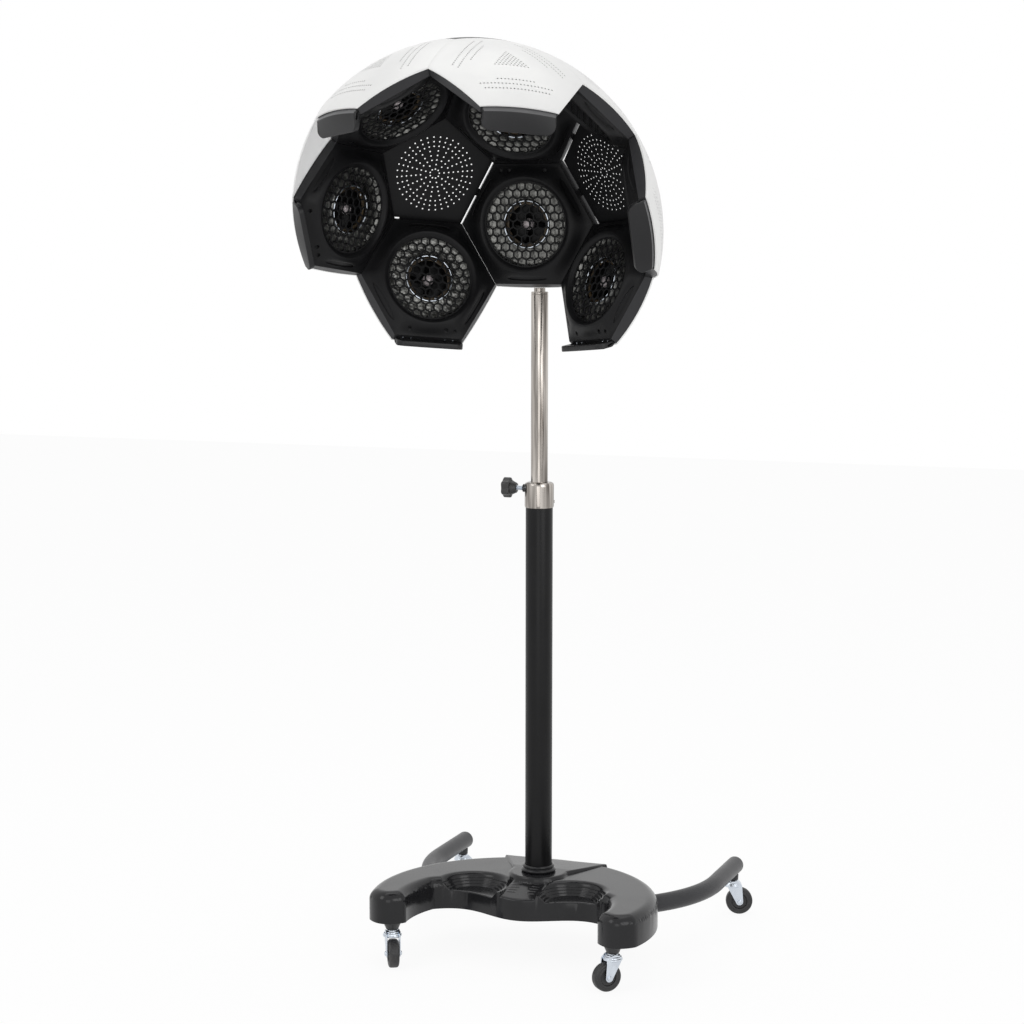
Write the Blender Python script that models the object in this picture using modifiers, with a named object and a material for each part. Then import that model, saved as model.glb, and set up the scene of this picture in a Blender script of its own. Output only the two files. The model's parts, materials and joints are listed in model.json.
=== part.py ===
"""Standing hood dryer: a ball-shaped hood of hexagonal drying modules on a telescopic column.

Metres, +Z up, the user sits at -Y. The origin is on the floor under the middle of the part's box.
"""
import math

import bmesh
import bpy
from mathutils import Matrix, Vector

# Clearances and walls
GAP = 0.0003
RUN_GAP = 0.0005
PASS_GAP = 0.0008

# Castors: twin-leg forks on fixed king pins
WHEEL_DIAMETER = 0.050
WHEEL_WIDTH = 0.019
WHEEL_SIDES = 16
WHEEL_ROUNDING = 0.004
HUB_RECESS_DEPTH = 0.003
HUB_RECESS_DIAMETER = 0.030
AXLE_DIAMETER = 0.006
CASTOR_TRAIL = 0.012
FORK_WALL = 0.0022
FORK_SIDE_GAP = 0.001
FORK_TOP_Z = 0.065
FORK_PLATE_THICKNESS = 0.004
FORK_PLATE_DIAMETER = 0.034
FORK_EYE_RADIUS = 0.007
KING_PIN_DIAMETER = 0.008
KING_PIN_REACH = 0.007
FRONT_CASTOR_X = 0.203
FRONT_CASTOR_Y = -0.195
REAR_CASTOR_Y = 0.327
CASTOR_TURN = {"front_left": -60.0, "front_right": -135.0, "rear_left": 40.0, "rear_right": 20.0}

# Rear leg: one bent tube with plugged ends
LEG_DIAMETER = 0.032
LEG_WALL = 0.002
LEG_Z = 0.090
LEG_HALF_TRACK = 0.2735
LEG_BEND_RADIUS = 0.245
LEG_FRONT_Y = -0.042
LEG_END_BEYOND_CASTOR = 0.014
LEG_BEND_STEPS = 7
LEG_SIDES = 8
LEG_STEM_DIAMETER = 0.020
PLUG_DEPTH = 0.020
PLUG_CROWN = 0.007

# Base: moulded cover over a cast frame
ARM_OUTER_RADIUS = 0.253
ARM_OUTER_CENTRE_Y = -0.135
ARM_INNER_RADIUS = 0.178
ARM_INNER_CENTRE_Y = -0.175
ARM_END_Y = -0.198
ARM_END_BULGE = 0.022
COVER_WALL = 0.003
COVER_BOTTOM_Z = 0.080
ARM_TOP_Z = 0.135
ARM_CROWN = 0.018
RECESS_FLOOR_Z = 0.113
APRON_FRONT_Y = -0.121
APRON_SIDE_Y = -0.084
APRON_HALF_WIDTH = 0.115
APRON_TUCK = 0.0035
APRON_END_Y = -0.107
SPINE_FRONT_HALF_WIDTH = 0.038
SPINE_BACK_HALF_WIDTH = 0.031
SPINE_FRONT_Z = 0.118
PLATE_TOP_Z = 0.140
PLATE_NOSE_RADIUS = 0.052
PLATE_REAR_HALF_WIDTH = 0.100
PLATE_REAR_Y = 0.098
FRAME_EDGE_INSET = 0.010
FRAME_THICKNESS = 0.012
FRAME_HUB_RADIUS = 0.043
SPIGOT_HEIGHT = 0.045
BOSS_TOP_DIAMETER = 0.030
BOSS_FOOT_DIAMETER = 0.020
POST_DIAMETER = 0.014
POST_PLACES = ((0.150, 0.020), (0.215, -0.120))

# Column: fixed outer tube, sliding inner tube, clamp collar
COLUMN_DIAMETER = 0.048
COLUMN_WALL = 0.002
FOOT_RING_DIAMETER = 0.062
FOOT_RING_HEIGHT = 0.013
COLLAR_DIAMETER = 0.052
COLLAR_HEIGHT = 0.045
COLLAR_BOTTOM_Z = 0.797
COLLAR_SOCKET = 0.020
BUSH_LENGTH = 0.025
INNER_TUBE_DIAMETER = 0.030
INNER_TUBE_WALL = 0.0018
INNER_TUBE_TOP_Z = 1.172
INNER_TUBE_BOTTOM_Z = 0.560
LOWER_GUIDE_LENGTH = 0.035
TOP_BUSH_FLANGE = 0.004
TOP_BUSH_DEPTH = 0.030

# Clamp knob on the collar's left side
KNOB_Z_ABOVE_COLLAR_FOOT = 0.033
STUD_DIAMETER = 0.008
PAD_LENGTH = 0.006
KNOB_HUB_START = 0.042
KNOB_HUB_LENGTH = 0.010
KNOB_THICKNESS = 0.015
KNOB_DIAMETER = 0.036
KNOB_LOBES = 6
KNOB_LOBE_DEPTH = 0.0026
STUD_END_IN_KNOB = 0.010

# Neck and tilt hinge behind the hood
NECK_DIAMETER = 0.020
NECK_FOOT_LENGTH = 0.012
NECK_BOTTOM_Z = 1.075
HINGE_Z = 1.288
KNUCKLE_DIAMETER = 0.030
KNUCKLE_WIDTH = 0.022
TILT_PIN_DIAMETER = 0.008
TILT_PIN_HEAD_DIAMETER = 0.015
TILT_PIN_HEAD = 0.005
EAR_THICKNESS = 0.005
EAR_DIAMETER = 0.028
BRACKET_WIDTH = 0.074
BRACKET_HEIGHT = 0.062
BRACKET_BASE = 0.006

# Hood: a truncated icosahedron of ten hexagon modules
HINGE_STANDOFF = 0.025
HOOD_DROP_BELOW_HINGE = 0.009
HOOD_LEAN = -7.8
HOOD_RADIUS = 0.311
MODULE_DEPTH = 0.015
COVER_THICKNESS = 0.0025
PANEL_THICKNESS = 0.0025
SEAM_INSET = 0.0004
COVER_CUTS = 1
GRILLE_PITCH = 0.028
GRILLE_RIB = 0.0045
GRILLE_RADIUS = 0.052
VENT_THICKNESS = 0.002
VENT_SLIT = 0.0035
VENT_TAB_WIDTH = 0.014
TOP_VENT_RISE = 0.001
SIDE_PANEL_BULGE = 0.45
GRIP_END_CLEARANCE = 0.0043
GRIP_RUN = 0.0075
GRIP_REACH = 0.0325
GRIP_SLOPE = 50.0
GRIP_THICKNESS = 0.010
GRIP_SETBACK = 0.004
GRIP_CORNER = 0.014

# Fans: one behind each grille
FAN_DIAMETER = 0.074
FAN_BLADES = 4
FAN_HUB_DIAMETER = 0.026
FAN_HUB_LENGTH = 0.012
FAN_CHORD = 0.028
FAN_ROOT_SHARE = 0.26
FAN_BLADE_THICKNESS = 0.0016
FAN_ROOT_PITCH = 42.0
FAN_TIP_PITCH = 26.0
FAN_GRILLE_GAP = 0.006
FAN_SHAFT_DIAMETER = 0.004
FAN_SHAFT_LENGTH = 0.010
MOTOR_DIAMETER = 0.030
MOTOR_SINK = 0.0004

# Proportions of a truncated icosahedron with corner radius 1
EDGE_SHARE = 1.0 / 2.47801866
HEX_PLANE_SHARE = math.sqrt(1.0 - EDGE_SHARE ** 2)
PENT_RADIUS_SHARE = EDGE_SHARE / (2.0 * math.sin(math.pi / 5.0))
PENT_PLANE_SHARE = math.sqrt(1.0 - PENT_RADIUS_SHARE ** 2)

# Roundness of turned pieces
FINE_STEPS = 20
TUBE_STEPS = 14
SMALL_STEPS = 8


def clear_scene():
    """Start from an empty scene with a collection for the parts and one for the cutters."""
    for old in list(bpy.data.objects):
        bpy.data.objects.remove(old)
    parts = bpy.data.collections.new("standing_hood_dryer")
    tools = bpy.data.collections.new("cutters")
    bpy.context.scene.collection.children.link(parts)
    bpy.context.scene.collection.children.link(tools)
    return parts, tools


PARTS, TOOLS = clear_scene()


def make_material(name, colour, roughness, metallic):
    """A plain Principled material."""
    material = bpy.data.materials.new(name)
    material.use_nodes = True
    shader = material.node_tree.nodes["Principled BSDF"]
    shader.inputs["Base Color"].default_value = (*colour, 1.0)
    shader.inputs["Roughness"].default_value = roughness
    shader.inputs["Metallic"].default_value = metallic
    return material


GLOSS_BLACK = make_material("gloss_black_moulding", (0.020, 0.020, 0.022), 0.22, 0.0)
SATIN_BLACK = make_material("satin_black_paint", (0.016, 0.016, 0.017), 0.45, 0.0)
PANEL_BLACK = make_material("panel_black", (0.014, 0.014, 0.015), 0.38, 0.0)
COVER_WHITE = make_material("cover_white", (0.78, 0.78, 0.765), 0.40, 0.0)
CHROME = make_material("chrome", (0.80, 0.78, 0.76), 0.12, 1.0)
ZINC = make_material("zinc_plate", (0.62, 0.67, 0.72), 0.30, 1.0)
CAST_IRON = make_material("cast_iron", (0.05, 0.05, 0.05), 0.60, 0.8)
WHEEL_BLACK = make_material("wheel_black", (0.018, 0.018, 0.018), 0.55, 0.0)
NYLON = make_material("nylon_grey", (0.30, 0.30, 0.30), 0.50, 0.0)
BRASS = make_material("brass", (0.60, 0.46, 0.20), 0.30, 1.0)


def make_empty(name, parent, world):
    """An empty on a joint axis, at a world point of the unshifted model."""
    empty = bpy.data.objects.new(name, None)
    empty.empty_display_size = 0.05
    PARTS.objects.link(empty)
    empty["world"] = tuple(world)
    empty.parent = parent
    start = Vector(parent["world"]) if parent else Vector((0.0, 0.0, 0.0))
    empty.location = Vector(world) - start
    return empty


def add_part(name, mesh, material, parent, location=(0.0, 0.0, 0.0), rotation=None):
    """Link one named piece under its empty; location is in the empty's own frame."""
    part = bpy.data.objects.new(name, mesh)
    PARTS.objects.link(part)
    part.parent = parent
    turn = rotation.to_4x4() if rotation is not None else Matrix.Identity(4)
    part.matrix_local = Matrix.Translation(Vector(location)) @ turn
    if not mesh.materials:
        mesh.materials.append(material)
    return part


def add_tool(name, mesh, parent=None, location=(0.0, 0.0, 0.0), rotation=None):
    """Link a cutter or a guide, which stays out of the finished part."""
    tool = bpy.data.objects.new(name, mesh)
    TOOLS.objects.link(tool)
    tool.parent = parent
    turn = rotation.to_4x4() if rotation is not None else Matrix.Identity(4)
    tool.matrix_local = Matrix.Translation(Vector(location)) @ turn
    tool.hide_render = True
    tool.display_type = "WIRE"
    return tool


def finish_mesh(bm, name):
    """Turn a bmesh into a mesh datablock."""
    mesh = bpy.data.meshes.new(name)
    bm.to_mesh(mesh)
    bm.free()
    return mesh


def smooth(part, angle=35.0):
    """Smooth shading with sharp edges kept."""
    part.data.shade_smooth()
    part.data.set_sharp_from_angle(angle=math.radians(angle))


def combine(part, tool, operation):
    """Add a Boolean of a tool to a piece."""
    boolean = part.modifiers.new(operation.lower(), "BOOLEAN")
    boolean.operation = operation
    boolean.object = tool
    boolean.solver = "EXACT"


def bake(part):
    """Return the mesh that a piece's modifiers make, and drop the piece."""
    bpy.context.view_layer.update()
    graph = bpy.context.evaluated_depsgraph_get()
    mesh = bpy.data.meshes.new_from_object(part.evaluated_get(graph))
    bpy.data.objects.remove(part)
    return mesh


def turned_mesh(name, profile, closed):
    """A profile at +X for a Screw modifier; it runs down the outer side, top to bottom."""
    bm = bmesh.new()
    points = [bm.verts.new((radius, 0.0, height)) for radius, height in profile]
    for first, second in zip(points, points[1:]):
        bm.edges.new((first, second))
    if closed:
        bm.edges.new((points[-1], points[0]))
    return finish_mesh(bm, name)


def spin(part, steps):
    """Turn a profile about the piece's own Z axis."""
    screw = part.modifiers.new("turn", "SCREW")
    screw.axis = "Z"
    screw.angle = math.tau
    screw.steps = steps
    screw.render_steps = steps
    screw.use_merge_vertices = True
    screw.merge_threshold = 0.00001


def turned_part(name, profile, material, parent, steps, closed=False, location=(0, 0, 0), rotation=None):
    """A turned piece; an open profile starts and ends on the axis."""
    part = add_part(name, turned_mesh(name, profile, closed), material, parent, location, rotation)
    spin(part, steps)
    return part


def turned_tool(name, profile, steps, closed=False, parent=None, location=(0, 0, 0), rotation=None):
    """A turned cutter or guide."""
    tool = add_tool(name, turned_mesh(name, profile, closed), parent, location, rotation)
    spin(tool, steps)
    return tool


def cylinder_profile(radius, bottom, top):
    """Open profile of a solid cylinder."""
    return [(0.0, top), (radius, top), (radius, bottom), (0.0, bottom)]


def bore_profile(radius, bottom, top, steps):
    """Open profile of a bore whose flats, not its corners, keep the radius."""
    return cylinder_profile(radius / math.cos(math.pi / steps), bottom, top)


def ring_profile(outer, inner, bottom, top):
    """Closed profile of a plain ring."""
    return [(outer, top), (outer, bottom), (inner, bottom), (inner, top)]


def prism_mesh(name, outline, bottom, top, crown=0.0, crown_steps=3):
    """A flat outline drawn up into a prism, with its upper rim rounded over."""
    bm = bmesh.new()
    base = bm.faces.new([bm.verts.new((x, y, bottom)) for x, y in outline])
    base.normal_update()
    if base.normal.z > 0.0:
        base.normal_flip()
    drawn = bmesh.ops.extrude_face_region(bm, geom=[base])
    lid_points = [item for item in drawn["geom"] if isinstance(item, bmesh.types.BMVert)]
    bmesh.ops.translate(bm, verts=lid_points, vec=(0.0, 0.0, top - bottom))
    bmesh.ops.recalc_face_normals(bm, faces=bm.faces[:])
    if crown > 0.0:
        chosen = set(lid_points)
        rim = [edge for edge in bm.edges if edge.verts[0] in chosen and edge.verts[1] in chosen]
        bmesh.ops.bevel(bm, geom=rim, offset=crown, segments=crown_steps, profile=0.5, affect="EDGES")
    return finish_mesh(bm, name)


def arc_points(centre_x, centre_y, radius, start, end, steps):
    """Points on an arc from start to end, in degrees."""
    points = []
    for step in range(steps + 1):
        angle = math.radians(start + (end - start) * step / steps)
        points.append((centre_x + radius * math.cos(angle), centre_y + radius * math.sin(angle)))
    return points


# Icosahedron corners name the hood's pentagons, and their triangles name its hexagons


def icosahedron():
    """Unit directions: N and S are the poles, U0 to U4 the upper ring and L0 to L4 the lower ring."""
    latitude = math.atan(0.5)
    corners = {"N": Vector((0.0, 0.0, 1.0))}
    for index in range(5):
        for ring, turn, sign in (("U", 72.0 * index, 1.0), ("L", 72.0 * index + 36.0, -1.0)):
            angle = math.radians(turn)
            flat = math.cos(latitude)
            corners[ring + str(index)] = Vector(
                (math.sin(angle) * flat, -math.cos(angle) * flat, sign * math.sin(latitude)))
    return corners


CORNERS = icosahedron()

# Each module: name, its icosahedron triangle with the corner opposite the grip first, and grip or none
MODULES = (
    ("front_right", ("N", "U0", "U1"), True),
    ("front_left", ("N", "U4", "U0"), True),
    ("upper_right", ("N", "U1", "U2"), False),
    ("upper_back", ("N", "U2", "U3"), False),
    ("upper_left", ("N", "U3", "U4"), False),
    ("side_right", ("U2", "L1", "U1"), True),
    ("back_centre", ("L2", "U3", "U2"), False),
    ("side_left", ("U3", "U4", "L3"), True),
    ("low_right", ("U2", "L2", "L1"), True),
    ("low_left", ("U3", "L3", "L2"), True),
)


def module_turn(triangle):
    """Rotation that lays a module's own Z along its outward axis and its own X to the first corner."""
    first, second, third = (CORNERS[name] for name in triangle)
    axis = (first + second + third).normalized()
    side = (first - axis * first.dot(axis)).normalized()
    return Matrix((side, axis.cross(side), axis)).transposed()


def pentagon_turn(name, towards):
    """Rotation that lays a pentagon's own Z along its corner and its own X to a neighbour corner."""
    axis = CORNERS[name]
    side = (CORNERS[towards] - axis * CORNERS[towards].dot(axis)).normalized()
    return Matrix((side, axis.cross(side), axis)).transposed()


def first_corner_at(angle):
    """Rotation for a drawn circle, whose first corner is on +Y, that brings this corner to an angle."""
    return Matrix.Rotation(math.radians(angle - 90.0), 4, "Z")


def dome_mesh(name, sides, first_corner, plane_share, corner_share, radius, inset):
    """A flat polygon, divided and pushed out to a sphere about the hood's centre."""
    bm = bmesh.new()
    corner = radius * corner_share - inset / math.cos(math.pi / sides)
    bmesh.ops.create_circle(bm, cap_ends=True, cap_tris=True, segments=sides, radius=corner,
                            matrix=first_corner_at(first_corner))
    bmesh.ops.subdivide_edges(bm, edges=bm.edges[:], cuts=COVER_CUTS, use_grid_fill=True)
    for vert in bm.verts:
        vert.co = Vector((vert.co.x, vert.co.y, radius * plane_share)).normalized() * radius
    bmesh.ops.recalc_face_normals(bm, faces=bm.faces[:])
    if sum(face.normal.z for face in bm.faces) < 0.0:
        bmesh.ops.reverse_faces(bm, faces=bm.faces[:])
    return finish_mesh(bm, name)


def thicken(part, thickness):
    """Give an open surface its wall, inward from the surface."""
    wall = part.modifiers.new("wall", "SOLIDIFY")
    wall.thickness = thickness
    wall.offset = -1.0
    wall.use_even_offset = True
    wall.use_quality_normals = True


HOOD_INNER = HOOD_RADIUS - COVER_THICKNESS
PANEL_CORNER_RADIUS = HOOD_RADIUS - MODULE_DEPTH
GRIP_TOP_RADIUS = HOOD_RADIUS - GRIP_SETBACK
GRIP_LENGTH = HOOD_RADIUS * EDGE_SHARE - 2.0 * GRIP_END_CLEARANCE
PANEL_PLANE = PANEL_CORNER_RADIUS * HEX_PLANE_SHARE
FAN_START = PANEL_PLANE + PANEL_THICKNESS + FAN_GRILLE_GAP
FAN_BACK = FAN_START + FAN_HUB_LENGTH
MOTOR_START = FAN_BACK + 0.002


def cover_mesh():
    """White outer cover of one module, with the fan motor's can on its inner side."""
    dome = dome_mesh("cover_form", 6, 30.0, HEX_PLANE_SHARE, EDGE_SHARE, HOOD_RADIUS, SEAM_INSET)
    cover = add_tool("cover_form", dome)
    thicken(cover, COVER_THICKNESS)
    motor = turned_tool("motor_form", cylinder_profile(MOTOR_DIAMETER / 2, MOTOR_START,
                                                       HOOD_INNER + MOTOR_SINK), SMALL_STEPS)
    bore = turned_tool("motor_bore", bore_profile(FAN_SHAFT_DIAMETER / 2 + GAP, MOTOR_START - 0.001,
                                                  FAN_BACK + FAN_SHAFT_LENGTH + GAP, SMALL_STEPS), SMALL_STEPS)
    combine(cover, motor, "UNION")
    combine(cover, bore, "DIFFERENCE")
    mesh = bake(cover)
    bpy.data.objects.remove(motor)
    bpy.data.objects.remove(bore)
    return mesh


def tray_mesh():
    """Open tray of one module: flat hexagon floor towards the head, side walls up to the cover."""
    bm = bmesh.new()
    corner = PANEL_CORNER_RADIUS * EDGE_SHARE - SEAM_INSET / math.cos(math.pi / 6.0)
    placed = Matrix.Translation((0.0, 0.0, PANEL_PLANE)) @ first_corner_at(30.0)
    bmesh.ops.create_circle(bm, cap_ends=True, segments=6, radius=corner, matrix=placed)
    bmesh.ops.subdivide_edges(bm, edges=bm.edges[:], cuts=COVER_CUTS)
    wall = bmesh.ops.extrude_edge_only(bm, edges=bm.edges[:])
    for vert in wall["geom"]:
        if isinstance(vert, bmesh.types.BMVert):
            vert.co = vert.co.normalized() * (HOOD_INNER - GAP)
    bmesh.ops.recalc_face_normals(bm, faces=bm.faces[:])
    bm.faces.ensure_lookup_table()
    floor = max(bm.faces, key=lambda face: len(face.verts))
    if floor.normal.z > 0.0:
        bmesh.ops.reverse_faces(bm, faces=bm.faces[:])
    return finish_mesh(bm, "tray")


def honeycomb_mesh():
    """Hexagonal prisms that cut the grille's openings, within a circle round the module's axis."""
    bm = bmesh.new()
    radius = (GRILLE_PITCH - GRILLE_RIB) / math.sqrt(3.0)
    depth = PANEL_THICKNESS * 4.0
    reach = math.ceil(GRILLE_RADIUS / GRILLE_PITCH) * 2
    for column in range(-reach, reach + 1):
        for row in range(-reach, reach + 1):
            x = GRILLE_PITCH * (column + row / 2.0)
            y = GRILLE_PITCH * row * math.sqrt(3.0) / 2.0
            if math.hypot(x, y) > GRILLE_RADIUS:
                continue
            place = Matrix.Translation((x, y, PANEL_PLANE))
            bmesh.ops.create_cone(bm, cap_ends=True, segments=6, radius1=radius, radius2=radius,
                                  depth=depth, matrix=place)
    return finish_mesh(bm, "honeycomb")


def grip_section(along):
    """Section of a grip at a place along it: out from the wall, then sloping in; shorter at its round corners."""
    sunk = PANEL_THICKNESS / 2.0
    slope = math.radians(GRIP_SLOPE)
    run = Vector((math.cos(slope), -math.sin(slope)))
    face = Vector((math.sin(slope), math.cos(slope)))
    past = max(0.0, abs(along) - (GRIP_LENGTH / 2.0 - GRIP_CORNER))
    reach = GRIP_REACH - GRIP_CORNER + math.sqrt(max(0.0, GRIP_CORNER ** 2 - past ** 2))
    end = Vector((GRIP_RUN, GRIP_TOP_RADIUS)) + run * reach
    back = end - face * GRIP_THICKNESS
    root = back - run * ((back.x + sunk) / run.x)
    top = math.sqrt(GRIP_TOP_RADIUS ** 2 - along ** 2)
    drop = GRIP_TOP_RADIUS - top
    return [(-sunk, top), (-sunk, root.y - drop), back[:], end[:], (GRIP_RUN, top)]


def grip_mesh():
    """Bent grip along a module's free edge, lofted through its sections and laid on that edge's wall."""
    half = GRIP_LENGTH / 2.0
    places = [half, half - GRIP_CORNER * 0.3, half - GRIP_CORNER, 0.0]
    bm = bmesh.new()
    rings = []
    for along in places + [-place for place in places[2::-1]]:
        rings.append([bm.verts.new((out, along, height)) for out, height in grip_section(along)])
    for ahead, behind in zip(rings, rings[1:]):
        for step in range(len(ahead)):
            following = (step + 1) % len(ahead)
            bm.faces.new((ahead[step], ahead[following], behind[following], behind[step]))
    bm.faces.new(rings[0])
    bm.faces.new(rings[-1])
    radial = Vector((-EDGE_SHARE * math.cos(math.pi / 6.0), 0.0, HEX_PLANE_SHARE)).normalized()
    outward = Vector((-radial.z, 0.0, radial.x))
    frame = Matrix((outward, (0.0, 1.0, 0.0), radial)).transposed().to_4x4()
    bmesh.ops.transform(bm, verts=bm.verts[:], matrix=Matrix.Translation(outward * -SEAM_INSET) @ frame)
    bmesh.ops.recalc_face_normals(bm, faces=bm.faces[:])
    return finish_mesh(bm, "grip")


def panel_mesh(with_grip):
    """Black inner panel with its honeycomb grille, and a grip where the edge is free."""
    panel = add_tool("panel_form", tray_mesh())
    thicken(panel, PANEL_THICKNESS)
    holes = add_tool("panel_holes", honeycomb_mesh())
    combine(panel, holes, "DIFFERENCE")
    grip = add_tool("panel_grip", grip_mesh())
    if with_grip:
        combine(panel, grip, "UNION")
    mesh = bake(panel)
    bpy.data.objects.remove(holes)
    bpy.data.objects.remove(grip)
    return mesh


def blade_points(radius, pitch):
    """Four corners of a blade's section at a radius, its chord turned by the pitch."""
    angle = math.radians(pitch)
    along = Vector((0.0, math.cos(angle), math.sin(angle))) * (FAN_CHORD / 2.0)
    across = Vector((0.0, -math.sin(angle), math.cos(angle))) * (FAN_BLADE_THICKNESS / 2.0)
    middle = Vector((radius, 0.0, FAN_START + FAN_HUB_LENGTH / 2.0))
    return [middle - along - across, middle + along - across, middle + along + across, middle - along + across]


def blades_mesh():
    """The twisted blades, each a loft from its root section to its tip section."""
    bm = bmesh.new()
    for index in range(FAN_BLADES):
        turn = Matrix.Rotation(math.tau * (index + 0.25) / FAN_BLADES, 4, "Z")
        sections = []
        for radius, pitch, size in ((FAN_HUB_DIAMETER * 0.38, FAN_ROOT_PITCH, FAN_ROOT_SHARE),
                                    (FAN_DIAMETER / 2.0, FAN_TIP_PITCH, 1.0)):
            points = blade_points(radius, pitch)
            middle = sum(points, Vector()) / 4.0
            sections.append([bm.verts.new(turn @ (middle + (point - middle) * size)) for point in points])
        root, tip = sections
        for step in range(4):
            following = (step + 1) % 4
            bm.faces.new((root[step], root[following], tip[following], tip[step]))
        bm.faces.new(root)
        bm.faces.new(tip)
    bmesh.ops.recalc_face_normals(bm, faces=bm.faces[:])
    return finish_mesh(bm, "blades")


def fan_mesh():
    """Axial fan with its hub and shaft."""
    radius = FAN_SHAFT_DIAMETER / 2.0
    top = FAN_BACK + FAN_SHAFT_LENGTH
    profile = [(0.0, top), (radius, top), (radius, FAN_BACK), (FAN_HUB_DIAMETER / 2.0, FAN_BACK),
               (FAN_HUB_DIAMETER / 2.0, FAN_START), (0.0, FAN_START)]
    fan = turned_tool("fan_form", profile, FAN_BLADES * 2)
    blades = add_tool("fan_blades", blades_mesh())
    combine(fan, blades, "UNION")
    mesh = bake(fan)
    bpy.data.objects.remove(blades)
    return mesh


def vent_mesh(radius):
    """Flat pentagon plate in its hole, held at the middle of each edge by a tab."""
    plane = radius * PENT_PLANE_SHARE
    corner = radius * PENT_RADIUS_SHARE
    apothem = corner * math.cos(math.pi / 5.0)
    plate_corner = (apothem - VENT_SLIT) / math.cos(math.pi / 5.0)
    outline = []
    for side in range(5):
        half = math.pi / 5.0
        middle = math.tau * side / 5.0 + half
        outline.append((plate_corner * math.cos(middle - half), plate_corner * math.sin(middle - half)))
        tab_end = apothem + SEAM_INSET - GAP
        for reach, offset in ((apothem - VENT_SLIT, -1), (tab_end, -1), (tab_end, 1), (apothem - VENT_SLIT, 1)):
            width = offset * VENT_TAB_WIDTH / 2.0
            outline.append((reach * math.cos(middle) - width * math.sin(middle),
                            reach * math.sin(middle) + width * math.cos(middle)))
    return prism_mesh("vent", outline, plane, plane + VENT_THICKNESS)


def side_panel_mesh():
    """White panel of the left pentagon, cut across its free front corner and domed less than the ball."""
    bm = bmesh.new()
    corner = HOOD_RADIUS * PENT_RADIUS_SHARE - 2.0 * SEAM_INSET / math.cos(math.pi / 5.0)
    outline = []
    for turn in (0.0, 72.0, 144.0, 288.0):
        angle = math.radians(turn)
        place = (corner * math.cos(angle), corner * math.sin(angle), HOOD_RADIUS * PENT_PLANE_SHARE)
        outline.append(bm.verts.new(place))
    bm.faces.new(outline)
    bmesh.ops.subdivide_edges(bm, edges=bm.edges[:], cuts=3, use_grid_fill=True)
    for vert in bm.verts:
        vert.co = vert.co.lerp(vert.co.normalized() * HOOD_RADIUS, SIDE_PANEL_BULGE)
    return finish_mesh(bm, "side_panel_left")


def wheel_profile():
    """Tread with rounded shoulders, recessed hub faces and a bore for the axle."""
    radius = WHEEL_DIAMETER / 2.0 / math.cos(math.pi / WHEEL_SIDES)
    half = WHEEL_WIDTH / 2.0
    bore = AXLE_DIAMETER / 2.0 + GAP
    recess = HUB_RECESS_DIAMETER / 2.0
    side = [(bore, half - HUB_RECESS_DEPTH), (recess, half - HUB_RECESS_DEPTH), (recess * 1.12, half),
            (radius, half - WHEEL_ROUNDING)]
    return side + [(r, -z) for r, z in reversed(side)]


AXLE_Z = WHEEL_DIAMETER / 2.0
FORK_HALF_GAP = WHEEL_WIDTH / 2.0 + FORK_SIDE_GAP


def fork_leg_outline():
    """Side view of a fork leg: straight across the top, round at the axle."""
    top = FORK_TOP_Z - FORK_PLATE_THICKNESS / 2.0
    half = FORK_PLATE_DIAMETER / 2.0
    eye = arc_points(CASTOR_TRAIL, AXLE_Z, FORK_EYE_RADIUS, 195.0, 375.0, 4)
    return [(-half * 0.62, top)] + eye + [(half * 0.95, top)]


def fork_mesh():
    """Castor fork: round head plate, two legs and the axle between them."""
    plate_foot = FORK_TOP_Z - FORK_PLATE_THICKNESS
    fork = turned_tool("fork_plate", cylinder_profile(FORK_PLATE_DIAMETER / 2.0, plate_foot, FORK_TOP_Z), 12)
    leg_turn = Matrix.Rotation(math.pi / 2.0, 3, "X")
    tools = []
    for side in (-1.0, 1.0):
        start = FORK_HALF_GAP if side > 0.0 else -FORK_HALF_GAP - FORK_WALL
        leg = add_tool("fork_leg", prism_mesh("fork_leg", fork_leg_outline(), -start - FORK_WALL, -start))
        leg.matrix_local = leg_turn.to_4x4()
        tools.append(leg)
    reach = FORK_HALF_GAP + FORK_WALL + 0.0015
    axle = turned_tool("axle_form", cylinder_profile(AXLE_DIAMETER / 2.0, -reach, reach), SMALL_STEPS,
                       location=(CASTOR_TRAIL, 0.0, AXLE_Z), rotation=leg_turn)
    tools.append(axle)
    for tool in tools:
        combine(fork, tool, "UNION")
    hole = turned_tool("king_pin_hole", bore_profile(KING_PIN_DIAMETER / 2.0 + GAP, plate_foot - 0.01,
                                                     FORK_TOP_Z + 0.01, SMALL_STEPS), SMALL_STEPS)
    combine(fork, hole, "DIFFERENCE")
    mesh = bake(fork)
    for tool in tools + [hole]:
        bpy.data.objects.remove(tool)
    return mesh


CASTOR_PLACES = {
    "front_left": (-FRONT_CASTOR_X, FRONT_CASTOR_Y),
    "front_right": (FRONT_CASTOR_X, FRONT_CASTOR_Y),
    "rear_left": (-LEG_HALF_TRACK, REAR_CASTOR_Y),
    "rear_right": (LEG_HALF_TRACK, REAR_CASTOR_Y),
}


def build_castors(root):
    """Four swivelling forks, each with its wheel."""
    fork = fork_mesh()
    for corner, (x, y) in CASTOR_PLACES.items():
        swivel = make_empty("castor_swivel_" + corner, root, (x, y, 0.0))
        swivel.rotation_euler.z = math.radians(CASTOR_TURN[corner])
        part = add_part("castor_fork_" + corner, fork, ZINC, swivel)
        smooth(part)
        facing = Matrix.Rotation(math.pi / 2.0, 3, "X") @ Matrix.Rotation(math.pi / WHEEL_SIDES, 3, "Z")
        wheel = turned_part("castor_wheel_" + corner, wheel_profile(), WHEEL_BLACK, swivel, WHEEL_SIDES, True,
                            (CASTOR_TRAIL, 0.0, AXLE_Z), facing)
        smooth(wheel)


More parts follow.
